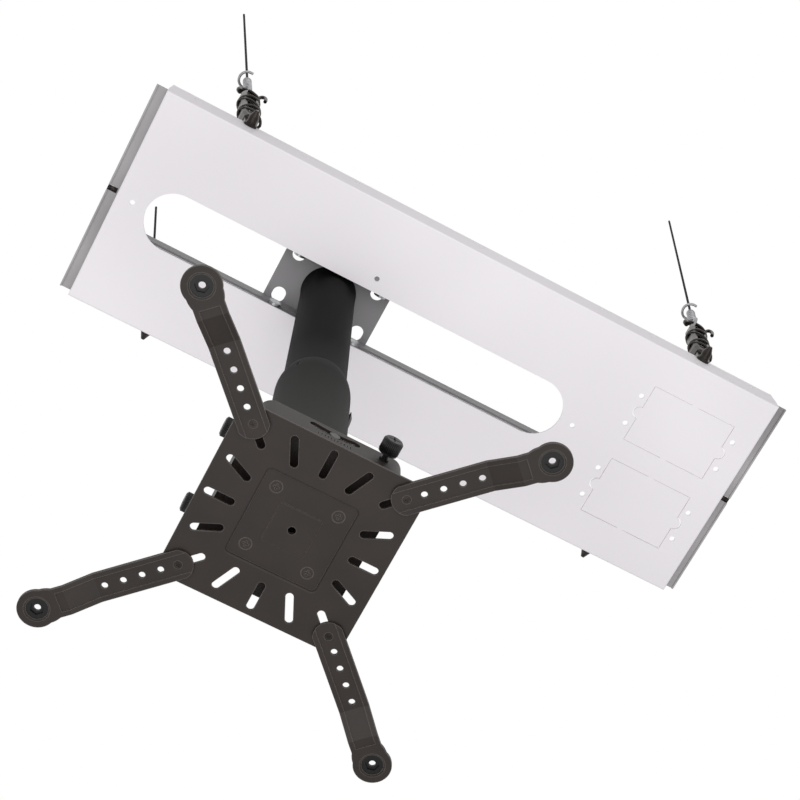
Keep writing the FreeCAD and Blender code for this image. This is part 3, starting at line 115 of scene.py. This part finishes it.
def paintedShadeInCorners(tree, colour, cornerShade):
    # painted shade: darker where the surface is hemmed in, as the open share of its sky falls past "from" to "to"
    hemmed = addNode(tree, "ShaderNodeAmbientOcclusion", {"samples": 6}, {"Distance": cornerShade["wideMm"] * mm})
    shadeShare = addNode(tree, "ShaderNodeMapRange",
                    inputs={"From Min": cornerShade["from"], "From Max": cornerShade["to"], "To Max": cornerShade["much"]},
                    links={"Value": (hemmed, "AO")})
    return addNode(tree, "ShaderNodeMix", {"data_type": "RGBA"}, {colourB: linear(cornerShade["colour"])},
                   {"Factor": (shadeShare, "Result"), colourA: colour}), mixedOut


def paintedLightAtFoot(tree, place, colour, footLight):
    # painted light: a paler film that thickens downwards between two heights, for light from below
    axes = addNode(tree, "ShaderNodeSeparateXYZ", links={"Vector": (place, "Object")})
    footLit = addNode(tree, "ShaderNodeMapRange",
                    inputs={"From Min": footLight["fromMm"] * mm, "From Max": footLight["toMm"] * mm,
                            "To Max": footLight["much"]},
                    links={"Value": (axes, "Z")})
    return addNode(tree, "ShaderNodeMix", {"data_type": "RGBA"}, {colourB: linear(footLight["colour"])},
                   {"Factor": (footLit, "Result"), colourA: colour}), mixedOut


def paintedShadeUnderHooks(tree, place, colour, hook):
    # painted shade on the undersides of the end hooks, in patches of painted light and shade: beyond fromMm to
    # either side and below topMm
    axes = addNode(tree, "ShaderNodeSeparateXYZ", links={"Vector": (place, "Object")})
    reach = addNode(tree, "ShaderNodeMath", {"operation": "ABSOLUTE"}, links={0: (axes, "X")})
    beyond = addNode(tree, "ShaderNodeMath", {"operation": "GREATER_THAN"}, {1: hook["fromMm"] * mm},
                     {0: (reach, "Value")})
    below = addNode(tree, "ShaderNodeMath", {"operation": "LESS_THAN"}, {1: hook["topMm"] * mm},
                    {0: (axes, "Z")})
    both = addNode(tree, "ShaderNodeMath", {"operation": "MULTIPLY"},
                   links={0: (beyond, "Value"), 1: (below, "Value")})
    lightAndShadePatches = addNode(tree, "ShaderNodeTexNoise", inputs={"Scale": 1 / (hook["lightAndShadePatchMm"] * mm), "Detail": 1.0},
                     links={"Vector": (place, "Object")})
    grey = twoShades(tree, lightAndShadePatches, hook["low"], hook["high"])
    return addNode(tree, "ShaderNodeMix", {"data_type": "RGBA"},
                   links={"Factor": (both, "Value"), colourA: colour, colourB: grey}), mixedOut


# Three kinds of surface

def paintedSteel(name, paint):
    # a baked or sprayed skin: fine orange peel and slow changes of tone; on the white powder these clouds are a
    # painted reflection
    material, tree = startMaterial(name)
    place = addNode(tree, "ShaderNodeTexCoord")
    cloud = addNode(tree, "ShaderNodeTexNoise", inputs={"Scale": 1 / (paint["cloudMm"] * mm), "Detail": 2.0},
                    links={"Vector": (place, "Object")})
    colour = twoShades(tree, cloud, paint["low"], paint["high"])
    # painted highlight along edges and folds
    if "edge" in paint:
        colour = paintedEdgeHighlight(tree, colour, paint["edge"])
    # painted shade under the end hooks
    if "hook" in paint:
        colour = paintedShadeUnderHooks(tree, place, colour, paint["hook"])
    # painted light, paler towards the foot
    if "footLight" in paint:
        colour = paintedLightAtFoot(tree, place, colour, paint["footLight"])
    # painted shade in corners and between parts
    if "cornerShade" in paint:
        colour = paintedShadeInCorners(tree, colour, paint["cornerShade"])
    peel = addNode(tree, "ShaderNodeTexNoise", inputs={"Scale": 1 / (paint["peelMm"] * mm), "Detail": 3.0},
                   links={"Vector": (place, "Object")})
    bump = addNode(tree, "ShaderNodeBump",
                   inputs={"Strength": paint["bump"], "Distance": paint["depthMm"] * mm},
                   links={"Height": (peel, "Fac")})
    spread = 0.05  # how far the roughness strays from its middle
    gloss = addNode(tree, "ShaderNodeMapRange",
                    inputs={"To Min": paint["rough"] - spread, "To Max": paint["rough"] + spread},
                    links={"Value": (peel, "Fac")})
    shader = addNode(tree, "ShaderNodeBsdfPrincipled", inputs={"IOR": paint["ior"]},
                     links={"Base Color": colour, "Roughness": (gloss, "Result"), "Normal": (bump, "Normal")})
    finishMaterial(tree, shader)
    return material


def bareSteel(name, metal):
    # plated or oiled steel: metallic, with a fine grain and blotches from the bath
    material, tree = startMaterial(name)
    place = addNode(tree, "ShaderNodeTexCoord")
    blotch = addNode(tree, "ShaderNodeTexNoise", inputs={"Scale": 1 / (metal["blotchMm"] * mm), "Detail": 4.0},
                     links={"Vector": (place, "Object")})
    colour = twoShades(tree, blotch, metal["low"], metal["high"])
    # painted shade in corners and between parts
    if "cornerShade" in metal:
        colour = paintedShadeInCorners(tree, colour, metal["cornerShade"])
    grain = addNode(tree, "ShaderNodeTexNoise", inputs={"Scale": 1 / (metal["grainMm"] * mm), "Detail": 2.0},
                    links={"Vector": (place, "Object")})
    depthMm = 0.05  # how deep the grain is
    bump = addNode(tree, "ShaderNodeBump", inputs={"Strength": 0.2, "Distance": depthMm * mm},
                   links={"Height": (grain, "Fac")})
    spread = 0.08  # blotches differ more in gloss than paint does
    gloss = addNode(tree, "ShaderNodeMapRange",
                    inputs={"To Min": metal["rough"] - spread, "To Max": metal["rough"] + spread},
                    links={"Value": (blotch, "Fac")})
    shader = addNode(tree, "ShaderNodeBsdfPrincipled", inputs={"Metallic": metal["metallic"]},
                     links={"Base Color": colour, "Roughness": (gloss, "Result"), "Normal": (bump, "Normal")})
    finishMaterial(tree, shader)
    return material


def mouldedNylon(name, plastic):
    # injection-moulded nylon: a fine spark-eroded texture
    material, tree = startMaterial(name)
    place = addNode(tree, "ShaderNodeTexCoord")
    grain = addNode(tree, "ShaderNodeTexNoise", inputs={"Scale": 1 / (plastic["grainMm"] * mm), "Detail": 2.0},
                    links={"Vector": (place, "Object")})
    colour = twoShades(tree, grain, plastic["low"], plastic["high"])
    bump = addNode(tree, "ShaderNodeBump",
                   inputs={"Strength": plastic["bump"], "Distance": plastic["depthMm"] * mm},
                   links={"Height": (grain, "Fac")})
    shader = addNode(tree, "ShaderNodeBsdfPrincipled",
                     inputs={"IOR": plastic["ior"], "Roughness": plastic["rough"]},
                     links={"Base Color": colour, "Normal": (bump, "Normal")})
    finishMaterial(tree, shader)
    return material


# Finishes, by the record's material slots

finishes = {
    # polyester powder baked white: soft sheen, broad warm-grey clouds that are a painted reflection, painted shade
    # under the hooks
    "white_powder_coat": paintedSteel("whitePowderCoat", {
        # these clouds are a painted reflection
        "low": "#EAE6EA", "high": "#FAF6FA", "cloudMm": 330, "peelMm": 1.2, "depthMm": 0.05, "bump": 0.15,
        "rough": 0.55, "ior": 1.45,
        # painted shade under the end hooks
        "hook": {"fromMm": 301.6, "topMm": 12.8, "low": "#8E8C8D", "high": "#B6B4B5", "lightAndShadePatchMm": 90}}),
    # the same powder in mid grey, on the rails and the bracket
    "grey_powder_coat": paintedSteel("greyPowderCoat", {
        "low": "#888688", "high": "#949294", "cloudMm": 60, "peelMm": 1.0, "depthMm": 0.05, "bump": 0.2,
        "rough": 0.5, "ior": 1.45}),
    # satin stove paint on tube: nearly black with a dull sheen, with painted light that turns it paler grey
    # towards its foot
    "black_satin_paint": paintedSteel("blackSatinPaint", {
        "low": "#020202", "high": "#050505", "cloudMm": 40, "peelMm": 0.8, "depthMm": 0.04, "bump": 0.25,
        "rough": 0.6, "ior": 1.12,
        # painted light, paler towards the foot
        "footLight": {"fromMm": -170, "toMm": -420, "much": 0.9, "colour": "#454543"}}),
    # dark brown powder on pressed steel: warm, matt, with a painted highlight along its folds and painted shade in
    # its corners
    "dark_brown_powder_coat": paintedSteel("darkBrownPowderCoat", {
        "low": "#27211E", "high": "#2D2623", "cloudMm": 30, "peelMm": 0.8, "depthMm": 0.05, "bump": 0.3,
        "rough": 0.5, "ior": 1.38,
        # painted highlight along the folds
        "edge": {"wideMm": 0.8, "from": 0.98, "to": 0.80, "much": 0.75, "colour": "#736C67"},
        # painted shade in the corners
        "cornerShade": {"wideMm": 1.5, "from": 0.75, "to": 0.35, "much": 0.9, "colour": "#14110F"}}),
    # hot-dip zinc: cool grey, mottled, with painted shade between the turns
    "galvanised_steel": bareSteel("galvanisedSteel", {
        "low": "#8E8E90", "high": "#B8B8BA", "blotchMm": 5, "grainMm": 0.6, "rough": 0.36, "metallic": 1.0,
        # painted shade between the turns
        "cornerShade": {"wideMm": 1.6, "from": 0.8, "to": 0.4, "much": 0.85, "colour": "#2A2928"}}),
    # bright zinc on small fasteners
    "zinc_plated_steel": bareSteel("zincPlatedSteel", {
        "low": "#9FA0A3", "high": "#B9BABC", "blotchMm": 4, "grainMm": 0.5, "rough": 0.32, "metallic": 1.0}),
    # blackened, oiled steel: dark with sharp glints
    "dark_oiled_steel": bareSteel("darkOiledSteel", {
        "low": "#2E2A28", "high": "#423D3A", "blotchMm": 6, "grainMm": 0.6, "rough": 0.3, "metallic": 0.9}),
    # annealed wire in its black scale, dry and matt
    "black_annealed_wire": paintedSteel("blackAnnealedWire", {
        "low": "#060606", "high": "#0A0A0A", "cloudMm": 8, "peelMm": 0.8, "depthMm": 0.04, "bump": 0.3,
        "rough": 0.7, "ior": 1.2}),
    # black nylon, moulded: deep black, a little shine
    "black_plastic": mouldedNylon("mouldedBlackNylon", {
        "low": "#0A0A0A", "high": "#101010", "grainMm": 0.5, "depthMm": 0.04, "bump": 0.25, "rough": 0.4,
        "ior": 1.4}),
}
for part in frame["record"]["subparts"]:
    piece = nodes[part["node"]]
    finish = finishes[part["material_slot"]]
    if piece.material_slots:
        for materialSlot in piece.material_slots:
            materialSlot.material = finish
    else:
        piece.data.materials.append(finish)
print("finishes given:", len(finishes))


# What repeats, winds or is round is grown by node trees; what bends once is a tube or a prism

joints = {joint["name"]: joint for joint in frame["joints"]}


def startTree(name, sizes):
    # a geometry tree with its named inputs, lengths in metres; the finish comes in as a material
    tree = bpy.data.node_groups.new(name, "GeometryNodeTree")
    for label, size in sizes.items():
        kind = "NodeSocketInt" if isinstance(size, int) else "NodeSocketFloat"
        tree.interface.new_socket(label, in_out="INPUT", socket_type=kind).default_value = size
    tree.interface.new_socket("Finish", in_out="INPUT", socket_type="NodeSocketMaterial")
    tree.interface.new_socket("Geometry", in_out="OUTPUT", socket_type="NodeSocketGeometry")
    return tree, addNode(tree, "NodeGroupInput")


def endTree(tree, given, shape):
    solid = addNode(tree, "GeometryNodeRealizeInstances", links={"Geometry": shape})
    coated = addNode(tree, "GeometryNodeSetMaterial",
                     links={"Geometry": (solid, "Geometry"), "Material": (given, "Finish")})
    addNode(tree, "NodeGroupOutput", links={"Geometry": (coated, "Geometry")})
    return tree


def buildWoundBar():
    # a bar wound round Z: tie wire, lock wire, screw thread; a negative Flatten winds it left-handed
    tree, given = startTree("woundBar", {"Radius": 0.003, "Height": 0.04, "Turns": 6.0, "Bar": 0.0015,
                                         "Flatten": 1.0, "Sides": 10})
    path = addNode(tree, "GeometryNodeCurveSpiral", inputs={"Resolution": 28},
                   links={"Rotations": (given, "Turns"), "Start Radius": (given, "Radius"),
                          "End Radius": (given, "Radius"), "Height": (given, "Height")})
    squeeze = addNode(tree, "ShaderNodeCombineXYZ", inputs={"X": 1.0, "Z": 1.0},
                      links={"Y": (given, "Flatten")})
    oval = addNode(tree, "GeometryNodeTransform",
                   links={"Geometry": (path, "Curve"), "Scale": (squeeze, "Vector")})
    section = addNode(tree, "GeometryNodeCurvePrimitiveCircle",
                      links={"Resolution": (given, "Sides"), "Radius": (given, "Bar")})
    bar = addNode(tree, "GeometryNodeCurveToMesh", inputs={"Fill Caps": True},
                  links={"Curve": (oval, "Geometry"), "Profile Curve": (section, "Curve")})
    return endTree(tree, given, (bar, "Mesh"))


def buildKnurl():
    # straight ribs round a knob
    tree, given = startTree("knurledRing", {"Ribs": 36, "Radius": 0.006, "Rib": 0.0004, "Length": 0.008})
    ring = addNode(tree, "GeometryNodeMeshCircle",
                   links={"Vertices": (given, "Ribs"), "Radius": (given, "Radius")})
    rib = addNode(tree, "GeometryNodeMeshCylinder", inputs={"Vertices": 8},
                  links={"Radius": (given, "Rib"), "Depth": (given, "Length")})
    ribs = addNode(tree, "GeometryNodeInstanceOnPoints",
                   links={"Points": (ring, "Mesh"), "Instance": (rib, "Mesh")})
    return endTree(tree, given, (ribs, "Instances"))


def buildWeld():
    # overlapping lobes of weld metal round a tube, each a little different
    tree, given = startTree("weldBead", {"Lobes": 52, "Radius": 0.0305, "Lobe": 0.0021, "Seed": 7})
    ring = addNode(tree, "GeometryNodeMeshCircle",
                   links={"Vertices": (given, "Lobes"), "Radius": (given, "Radius")})
    lobe = addNode(tree, "GeometryNodeMeshIcoSphere", inputs={"Subdivisions": 3},
                   links={"Radius": (given, "Lobe")})
    uneven = addNode(tree, "FunctionNodeRandomValue", {"data_type": "FLOAT_VECTOR"},
                     {"Min": (0.85, 0.85, 0.65), "Max": (1.15, 1.15, 0.95)}, {"Seed": (given, "Seed")})
    lobes = addNode(tree, "GeometryNodeInstanceOnPoints",
                    links={"Points": (ring, "Mesh"), "Instance": (lobe, "Mesh"), "Scale": (uneven, "Value")})
    return endTree(tree, given, (lobes, "Instances"))


def buildRivetHead():
    # a flattened ball, sunk by half into what it holds
    tree, given = startTree("rivetHead", {"Radius": 0.0013, "Flatten": 0.5})
    ball = addNode(tree, "GeometryNodeMeshUVSphere", inputs={"Segments": 20, "Rings": 10},
                   links={"Radius": (given, "Radius")})
    squash = addNode(tree, "ShaderNodeCombineXYZ", inputs={"X": 1.0, "Y": 1.0}, links={"Z": (given, "Flatten")})
    head = addNode(tree, "GeometryNodeTransform",
                   links={"Geometry": (ball, "Mesh"), "Scale": (squash, "Vector")})
    return endTree(tree, given, (head, "Geometry"))


woundBar, knurledRing, weldBead, rivetHead = buildWoundBar(), buildKnurl(), buildWeld(), buildRivetHead()


def growMesh(tree, sizes, slot):
    # runs a tree on an empty mesh and keeps the result as a plain mesh
    holder = bpy.data.objects.new("growing", bpy.data.meshes.new("growing"))
    bpy.context.scene.collection.objects.link(holder)
    modifier = holder.modifiers.new("grow", "NODES")
    modifier.node_group = tree
    for item in tree.interface.items_tree:
        if item.in_out == "INPUT" and item.name == "Finish":
            modifier[item.identifier] = finishes[slot]
        elif item.in_out == "INPUT":
            modifier[item.identifier] = sizes.get(item.name, item.default_value)
    mesh = bpy.data.meshes.new_from_object(holder.evaluated_get(bpy.context.evaluated_depsgraph_get()))
    bpy.data.objects.remove(holder)
    return mesh


def tubeMesh(points, barMm):
    # a bent round bar along a smooth line near its points
    path = bpy.data.curves.new("bentBar", "CURVE")
    path.dimensions = "3D"
    path.bevel_depth = barMm * mm
    path.bevel_resolution = 4  # 12 faces round the bar
    path.resolution_u = 10
    path.use_fill_caps = True
    spline = path.splines.new("NURBS")
    spline.points.add(len(points) - 1)
    for knot, point in zip(spline.points, points):
        knot.co = (*(Vector(point) * mm), 1)
    spline.order_u = 3
    spline.use_endpoint_u = True
    holder = bpy.data.objects.new("bentBar", path)
    mesh = bpy.data.meshes.new_from_object(holder)
    bpy.data.objects.remove(holder)
    return mesh


def prismMesh(outline, low, high, roundMm):
    # an outline in XZ drawn along Y, its edges rounded off
    built = bmesh.new()
    ends = [[built.verts.new((x * mm, y * mm, z * mm)) for x, z in outline] for y in (low, high)]
    built.faces.new(ends[0])
    built.faces.new(reversed(ends[1]))
    for at in range(len(outline)):
        following = (at + 1) % len(outline)
        built.faces.new((ends[0][at], ends[1][at], ends[1][following], ends[0][following]))
    bmesh.ops.recalc_face_normals(built, faces=built.faces)
    bmesh.ops.bevel(built, geom=list(built.edges), offset=roundMm * mm, segments=2, affect="EDGES")
    mesh = bpy.data.meshes.new("prism")
    built.to_mesh(mesh)
    built.free()
    return mesh


def lifted(mesh, heightMm):
    mesh.transform(Matrix.Translation((0, 0, heightMm * mm)))
    return mesh


def addPiece(name, meshes, place, body, slot):
    # joins its meshes, puts them in place and rides the piece on its body
    joined = bmesh.new()
    for mesh in meshes:
        joined.from_mesh(mesh)
        bpy.data.meshes.remove(mesh)
    joined.transform(place)
    for face in joined.faces:
        face.smooth = True
        face.material_index = 0
    made = bpy.data.meshes.new(name)
    joined.to_mesh(made)
    joined.free()
    made.materials.append(finishes[slot])
    piece = bpy.data.objects.new(name, made)
    bpy.context.scene.collection.objects.link(piece)
    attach(piece, body)
    return piece


# Hangers: each one's wires and threads are drawn upright from its pin, then leaned as its joint leans

hanger = {
    "jointMm": 60,  # from the pin up to the turnbuckle's joint
    "tie": {"coilMm": 3.0, "barMm": 1.32, "fromMm": 146.2, "tallMm": 42.0, "turns": 6.0, "loopMm": 6.0,
            "loopAtMm": 140.2},
    # the tie wire's loose end winds on upwards and is out at outMm after outShare of its way
    "tail": {"steps": 12, "outMm": 8.2, "outShare": 0.35, "riseMm": 2.5, "toDeg": 288},
    "lock": {"wideMm": 10.2, "flatten": 0.76, "barMm": 1.3, "fromMm": 22.0, "tallMm": 86.0, "turns": 2.3},
    "horn": {"barMm": 1.7, "points": [(6.5, -3.5, 104), (9.5, -5.5, 113), (13.5, -7.0, 113), (14.8, -7.4, 105),
                                      (13.6, -6.8, 97)]},
    "thread": {"coreMm": 2.95, "ridgeMm": 0.32, "pitchMm": 1.0, "jawMm": (28.5, 37.5), "hookMm": (89.5, 91.5)},
}


def hangerPlace(number):
    joint = joints["turnbuckle_%d_turn" % number]
    up = Vector(joint["axis"]).normalized()
    outwards = Vector((0, 1, 0))
    along = outwards.cross(up)
    foot = Vector(joint["pos_m"]) - up * hanger["jointMm"] * mm
    return Matrix.Translation(foot) @ Matrix((along, outwards, up)).transposed().to_4x4()


def tieWireMeshes():
    tie, tail = hanger["tie"], hanger["tail"]
    coil = growMesh(woundBar, {"Radius": tie["coilMm"] * mm, "Height": tie["tallMm"] * mm,
                               "Turns": tie["turns"], "Bar": tie["barMm"] * mm}, "galvanised_steel")
    loop = growMesh(woundBar, {"Radius": tie["loopMm"] * mm, "Height": 0.0, "Turns": 1.0,
                               "Bar": tie["barMm"] * mm}, "galvanised_steel")
    loop.transform(Matrix.Rotation(math.radians(90), 4, "Y"))
    points = []
    for step in range(tail["steps"] + 1):
        share = step / tail["steps"]
        angle = math.radians(tail["toDeg"] * share)
        radius = tie["coilMm"] + (tail["outMm"] - tie["coilMm"]) * min(1, share / tail["outShare"])
        height = tie["fromMm"] + tie["tallMm"] + tail["riseMm"] * share
        points.append((radius * math.cos(angle), radius * math.sin(angle), height))
    return [lifted(coil, tie["fromMm"]), lifted(loop, tie["loopAtMm"]), tubeMesh(points, tie["barMm"])]


def lockWireMeshes():
    # soft wire twisted both ways round the turnbuckle, its end bent out into a horn
    lock, horn = hanger["lock"], hanger["horn"]
    meshes = []
    for hand in (1, -1):
        wound = growMesh(woundBar, {"Radius": lock["wideMm"] * mm, "Height": lock["tallMm"] * mm,
                                    "Turns": lock["turns"], "Bar": lock["barMm"] * mm,
                                    "Flatten": lock["flatten"] * hand}, "dark_oiled_steel")
        meshes.append(lifted(wound, lock["fromMm"]))
    return meshes + [tubeMesh(horn["points"], horn["barMm"])]


def threadMesh(low, high, hand):
    # a four-sided ridge wound at the thread's own pitch
    thread = hanger["thread"]
    ridge = growMesh(woundBar, {"Radius": thread["coreMm"] * mm, "Height": (high - low) * mm,
                                "Turns": (high - low) / thread["pitchMm"], "Bar": thread["ridgeMm"] * mm,
                                "Flatten": float(hand), "Sides": 4}, "dark_oiled_steel")
    return lifted(ridge, low)


def dressHanger(number):
    place = hangerPlace(number)
    hangerBody = "hanger_body_%d" % number
    turnbuckleBody = "turnbuckle_body_%d" % number
    tieWire = addPiece("tie_wire_%d" % number, tieWireMeshes(), place, hangerBody, "galvanised_steel")
    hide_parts("wire_wrap_%d" % number)
    addPiece("lock_wire_%d" % number, lockWireMeshes(), place, turnbuckleBody, "dark_oiled_steel")
    jawThread = threadMesh(*hanger["thread"]["jawMm"], 1)
    addPiece("jaw_thread_%d" % number, [jawThread], place, "plate_body", "dark_oiled_steel")
    hookThread = threadMesh(*hanger["thread"]["hookMm"], -1)
    addPiece("hook_thread_%d" % number, [hookThread], place, hangerBody, "dark_oiled_steel")


for number in (1, 2, 3, 4):
    dressHanger(number)
print("hangers dressed")


# Thumb screws: straight knurling round each knob

knurling = {"ribs": 34, "ribMm": 0.45, "sunkMm": 0.12, "endMm": 1.2, "knobMm": 10.0}


def knurlKnob(name):
    joint = joints[name + "_turn"]
    outwards = Vector(joint["axis"])
    low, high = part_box(name.replace("thumb_", "thumb_screw_"))
    radius = (high.z - low.z) / 2 - knurling["sunkMm"] * mm
    length = (knurling["knobMm"] - 2 * knurling["endMm"]) * mm
    ribs = growMesh(knurledRing, {"Ribs": knurling["ribs"], "Radius": radius, "Rib": knurling["ribMm"] * mm,
                                  "Length": length}, "black_plastic")
    middle = Vector(joint["pos_m"]) + outwards * knurling["knobMm"] / 2 * mm
    place = Matrix.Translation(middle) @ outwards.to_track_quat("Z", "Y").to_matrix().to_4x4()
    addPiece(name + "_knurl", [ribs], place, name + "_body", "black_plastic")


for name in ("thumb_front", "thumb_left_front", "thumb_left_back"):
    knurlKnob(name)
print("knobs knurled")


# Sliding bracket: the weld round its socket and the pipe's thread standing out above it

bracket = {"lobes": 52, "lobeMm": 2.1, "threadPitchMm": 1.8, "threadMm": 0.55, "endMm": 0.6}


def dressBracket():
    low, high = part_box("pipe_socket")
    pipeLow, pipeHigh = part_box("drop_pipe")
    middle = (low + high) / 2
    weld = growMesh(weldBead, {"Lobes": bracket["lobes"], "Radius": (high.x - low.x) / 2,
                               "Lobe": bracket["lobeMm"] * mm}, "galvanised_steel")
    addPiece("socket_weld", [weld], Matrix.Translation((middle.x, middle.y, low.z)), "slide_body",
             "galvanised_steel")
    start = high.z + bracket["endMm"] * mm
    tall = pipeHigh.z - high.z - 2 * bracket["endMm"] * mm
    thread = growMesh(woundBar, {"Radius": (pipeHigh.x - pipeLow.x) / 2, "Height": tall,
                                 "Turns": tall / mm / bracket["threadPitchMm"], "Bar": bracket["threadMm"] * mm,
                                 "Sides": 4}, "black_satin_paint")
    addPiece("pipe_thread", [thread], Matrix.Translation((middle.x, middle.y, start)), "slide_body",
             "black_satin_paint")


dressBracket()
print("bracket dressed")


# End clips: a small dark spring clip in the notch of each end hook, put there as painted shade that darkens the
# notch

clip = {
    "thickMm": 0.8, "longMm": 8.9, "halfWideMm": 2.3, "dropMm": 1.9, "edgeMm": 0.1,
    "topMm": 13.1,  # above the plate's lowest face, just under the hook's upper one
    "setBackMm": 0.1, "rivetMm": 1.3, "rivetInMm": 3.2, "rivetFlat": 0.5,
}


def addNotchShadeClip(name, side):
    low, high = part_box("ceiling_plate")
    tip = high.x / mm if side > 0 else -low.x / mm
    outer = tip - clip["setBackMm"]
    inner = tip - clip["longMm"]
    top = low.z / mm + clip["topMm"]
    under = top - clip["dropMm"]
    outline = [(inner, under), (outer, under), (outer, top), (outer - clip["thickMm"], top),
               (outer - clip["thickMm"], under + clip["thickMm"]), (inner, under + clip["thickMm"])]
    outline = [(x * side, z) for x, z in outline]
    strip = prismMesh(outline, -clip["halfWideMm"], clip["halfWideMm"], clip["edgeMm"])
    rivet = growMesh(rivetHead, {"Radius": clip["rivetMm"] * mm, "Flatten": clip["rivetFlat"]},
                     "dark_oiled_steel")
    rivet.transform(Matrix.Translation(((inner + clip["rivetInMm"]) * side * mm, 0, under * mm)))
    addPiece(name, [strip, rivet], Matrix.Identity(4), "plate_body", "dark_oiled_steel")


# painted shade in the notches
addNotchShadeClip("notch_shade_clip_left", -1)
addNotchShadeClip("notch_shade_clip_right", 1)
print("end clips added")


# Painted shade behind the guide slot: a black nylon strip clipped over the cradle's front tab, behind the tray's
# guide slot, and a thin one on the tray itself behind the slot's right end, where the release bracket's lug swings
# past as the tray rolls; both darken what shows through the slot

shadeLiners = {  # outlines in YZ, ends along X from the guide pin
    "guide_liner": {"body": "cradle_body", "fromMm": -26.0, "toMm": 14.6, "edgeMm": 0.2, "outline": [
        (-52.4, -475.0), (-51.0, -475.0), (-51.0, -462.8), (-47.6, -462.8),
        (-47.6, -468.0), (-46.4, -468.0), (-46.4, -461.6), (-52.4, -461.6)]},
    "slot_end_liner": {"body": "tray_body", "fromMm": 14.4, "toMm": 24.0, "edgeMm": 0.08, "outline": [
        (-53.0, -474.5), (-52.6, -474.5), (-52.6, -462.5), (-53.0, -462.5)]},
}


def addShadeLiner(name, shadeLiner):
    low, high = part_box("guide_pin")
    middle = (low.x + high.x) / 2
    strip = prismMesh(shadeLiner["outline"], shadeLiner["fromMm"], shadeLiner["toMm"], shadeLiner["edgeMm"])
    # the prism's X goes to Y and its Y to X, which turns it inside out, so its normals are turned back
    swap = Matrix(((0, 1, 0, middle), (1, 0, 0, 0), (0, 0, 1, 0), (0, 0, 0, 1)))
    strip.transform(swap)
    strip.flip_normals()
    addPiece(name, [strip], Matrix.Identity(4), shadeLiner["body"], "black_plastic")


# painted shade behind the guide slot
for name, shadeLiner in shadeLiners.items():
    addShadeLiner(name, shadeLiner)
print("guide liners added")


# Camera, solved from the plate's corners and holes in the photograph

camera = {
    "placeMm": (-242.65, -423.5, -1535.72),
    "azimuthDeg": -27.09, "elevationDeg": -70.87, "rollDeg": 0.82,
    "lensMm": 82.26, "sensorMm": 36.0, "nearMm": 10, "farMm": 50000,
}


def placeCamera():
    azimuth, elevation, roll = (math.radians(camera[key]) for key in ("azimuthDeg", "elevationDeg", "rollDeg"))
    back = Vector((math.sin(azimuth) * math.cos(elevation), -math.cos(azimuth) * math.cos(elevation),
                   math.sin(elevation)))
    right = Vector((math.cos(azimuth), math.sin(azimuth), 0))
    up = back.cross(right)
    across = math.cos(roll) * right + math.sin(roll) * up
    upright = -math.sin(roll) * right + math.cos(roll) * up
    turn = Matrix((across, upright, back)).transposed().to_4x4()
    lens = bpy.data.cameras.new("photoCamera")
    lens.sensor_width = camera["sensorMm"]
    lens.lens = camera["lensMm"]
    lens.clip_start = camera["nearMm"] * mm
    lens.clip_end = camera["farMm"] * mm
    eye = bpy.data.objects.new("photoCamera", lens)
    eye.matrix_world = Matrix.Translation(Vector(camera["placeMm"]) * mm) @ turn
    bpy.context.scene.collection.objects.link(eye)
    bpy.context.scene.camera = eye


placeCamera()
print("camera placed")


# Studio: a white surround, a pale floor far below, a broad light from below and one from the front

studio = {
    "floorMm": -3400, "floorRadiusMm": 9000, "floorColour": "#F4F4F4", "floorRough": 0.8,
    "roomLevel": 0.5,  # how brightly the room lights the object; seen or mirrored, it is white at 1
    "panels": {
        "lowPanel": {"atMm": (-250, -500, -1700), "sizeMm": 2400, "watts": 25, "towardsMm": (-50, 0, 0)},
        "frontPanel": {"atMm": (-500, -1900, -500), "sizeMm": 1500, "watts": 1.2, "towardsMm": (0, 0, -50)},
    },
}


def layFloor():
    bpy.ops.mesh.primitive_circle_add(vertices=96, radius=studio["floorRadiusMm"] * mm, fill_type="NGON",
                                      location=(0, 0, studio["floorMm"] * mm))
    floor = bpy.context.object
    floor.name = "studioFloor"
    material, tree = startMaterial("matFloorPaint")
    shader = addNode(tree, "ShaderNodeBsdfPrincipled",
                     inputs={"Base Color": linear(studio["floorColour"]), "Roughness": studio["floorRough"]})
    finishMaterial(tree, shader)
    floor.data.materials.append(material)


def surroundRoom():
    world = bpy.data.worlds.new("studioRoom")
    bpy.context.scene.world = world
    world.use_nodes = True
    tree = world.node_tree
    tree.nodes.clear()
    path = addNode(tree, "ShaderNodeLightPath")
    direct = addNode(tree, "ShaderNodeMath", {"operation": "MAXIMUM"},
                     links={0: (path, "Is Camera Ray"), 1: (path, "Is Transmission Ray")})
    seen = addNode(tree, "ShaderNodeMath", {"operation": "MAXIMUM"},
                   links={0: (direct, "Value"), 1: (path, "Is Glossy Ray")})
    strength = addNode(tree, "ShaderNodeMapRange", inputs={"To Min": studio["roomLevel"], "To Max": 1.0},
                       links={"Value": (seen, "Value")})
    room = addNode(tree, "ShaderNodeBackground", inputs={"Color": (1, 1, 1, 1)},
                   links={"Strength": (strength, "Result")})
    addNode(tree, "ShaderNodeOutputWorld", links={"Surface": (room, "Background")})


def hangPanel(name, panel):
    lamp = bpy.data.lights.new(name, "AREA")
    lamp.size = panel["sizeMm"] * mm
    lamp.energy = panel["watts"]
    holder = bpy.data.objects.new(name, lamp)
    holder.location = Vector(panel["atMm"]) * mm
    aim = Vector(panel["towardsMm"]) - Vector(panel["atMm"])
    holder.rotation_euler = aim.to_track_quat("-Z", "Y").to_euler()
    holder.visible_camera = False
    bpy.context.scene.collection.objects.link(holder)


layFloor()
surroundRoom()
for name, panel in studio["panels"].items():
    hangPanel(name, panel)
bpy.context.scene.view_settings.view_transform = "Standard"
print("studio lit")
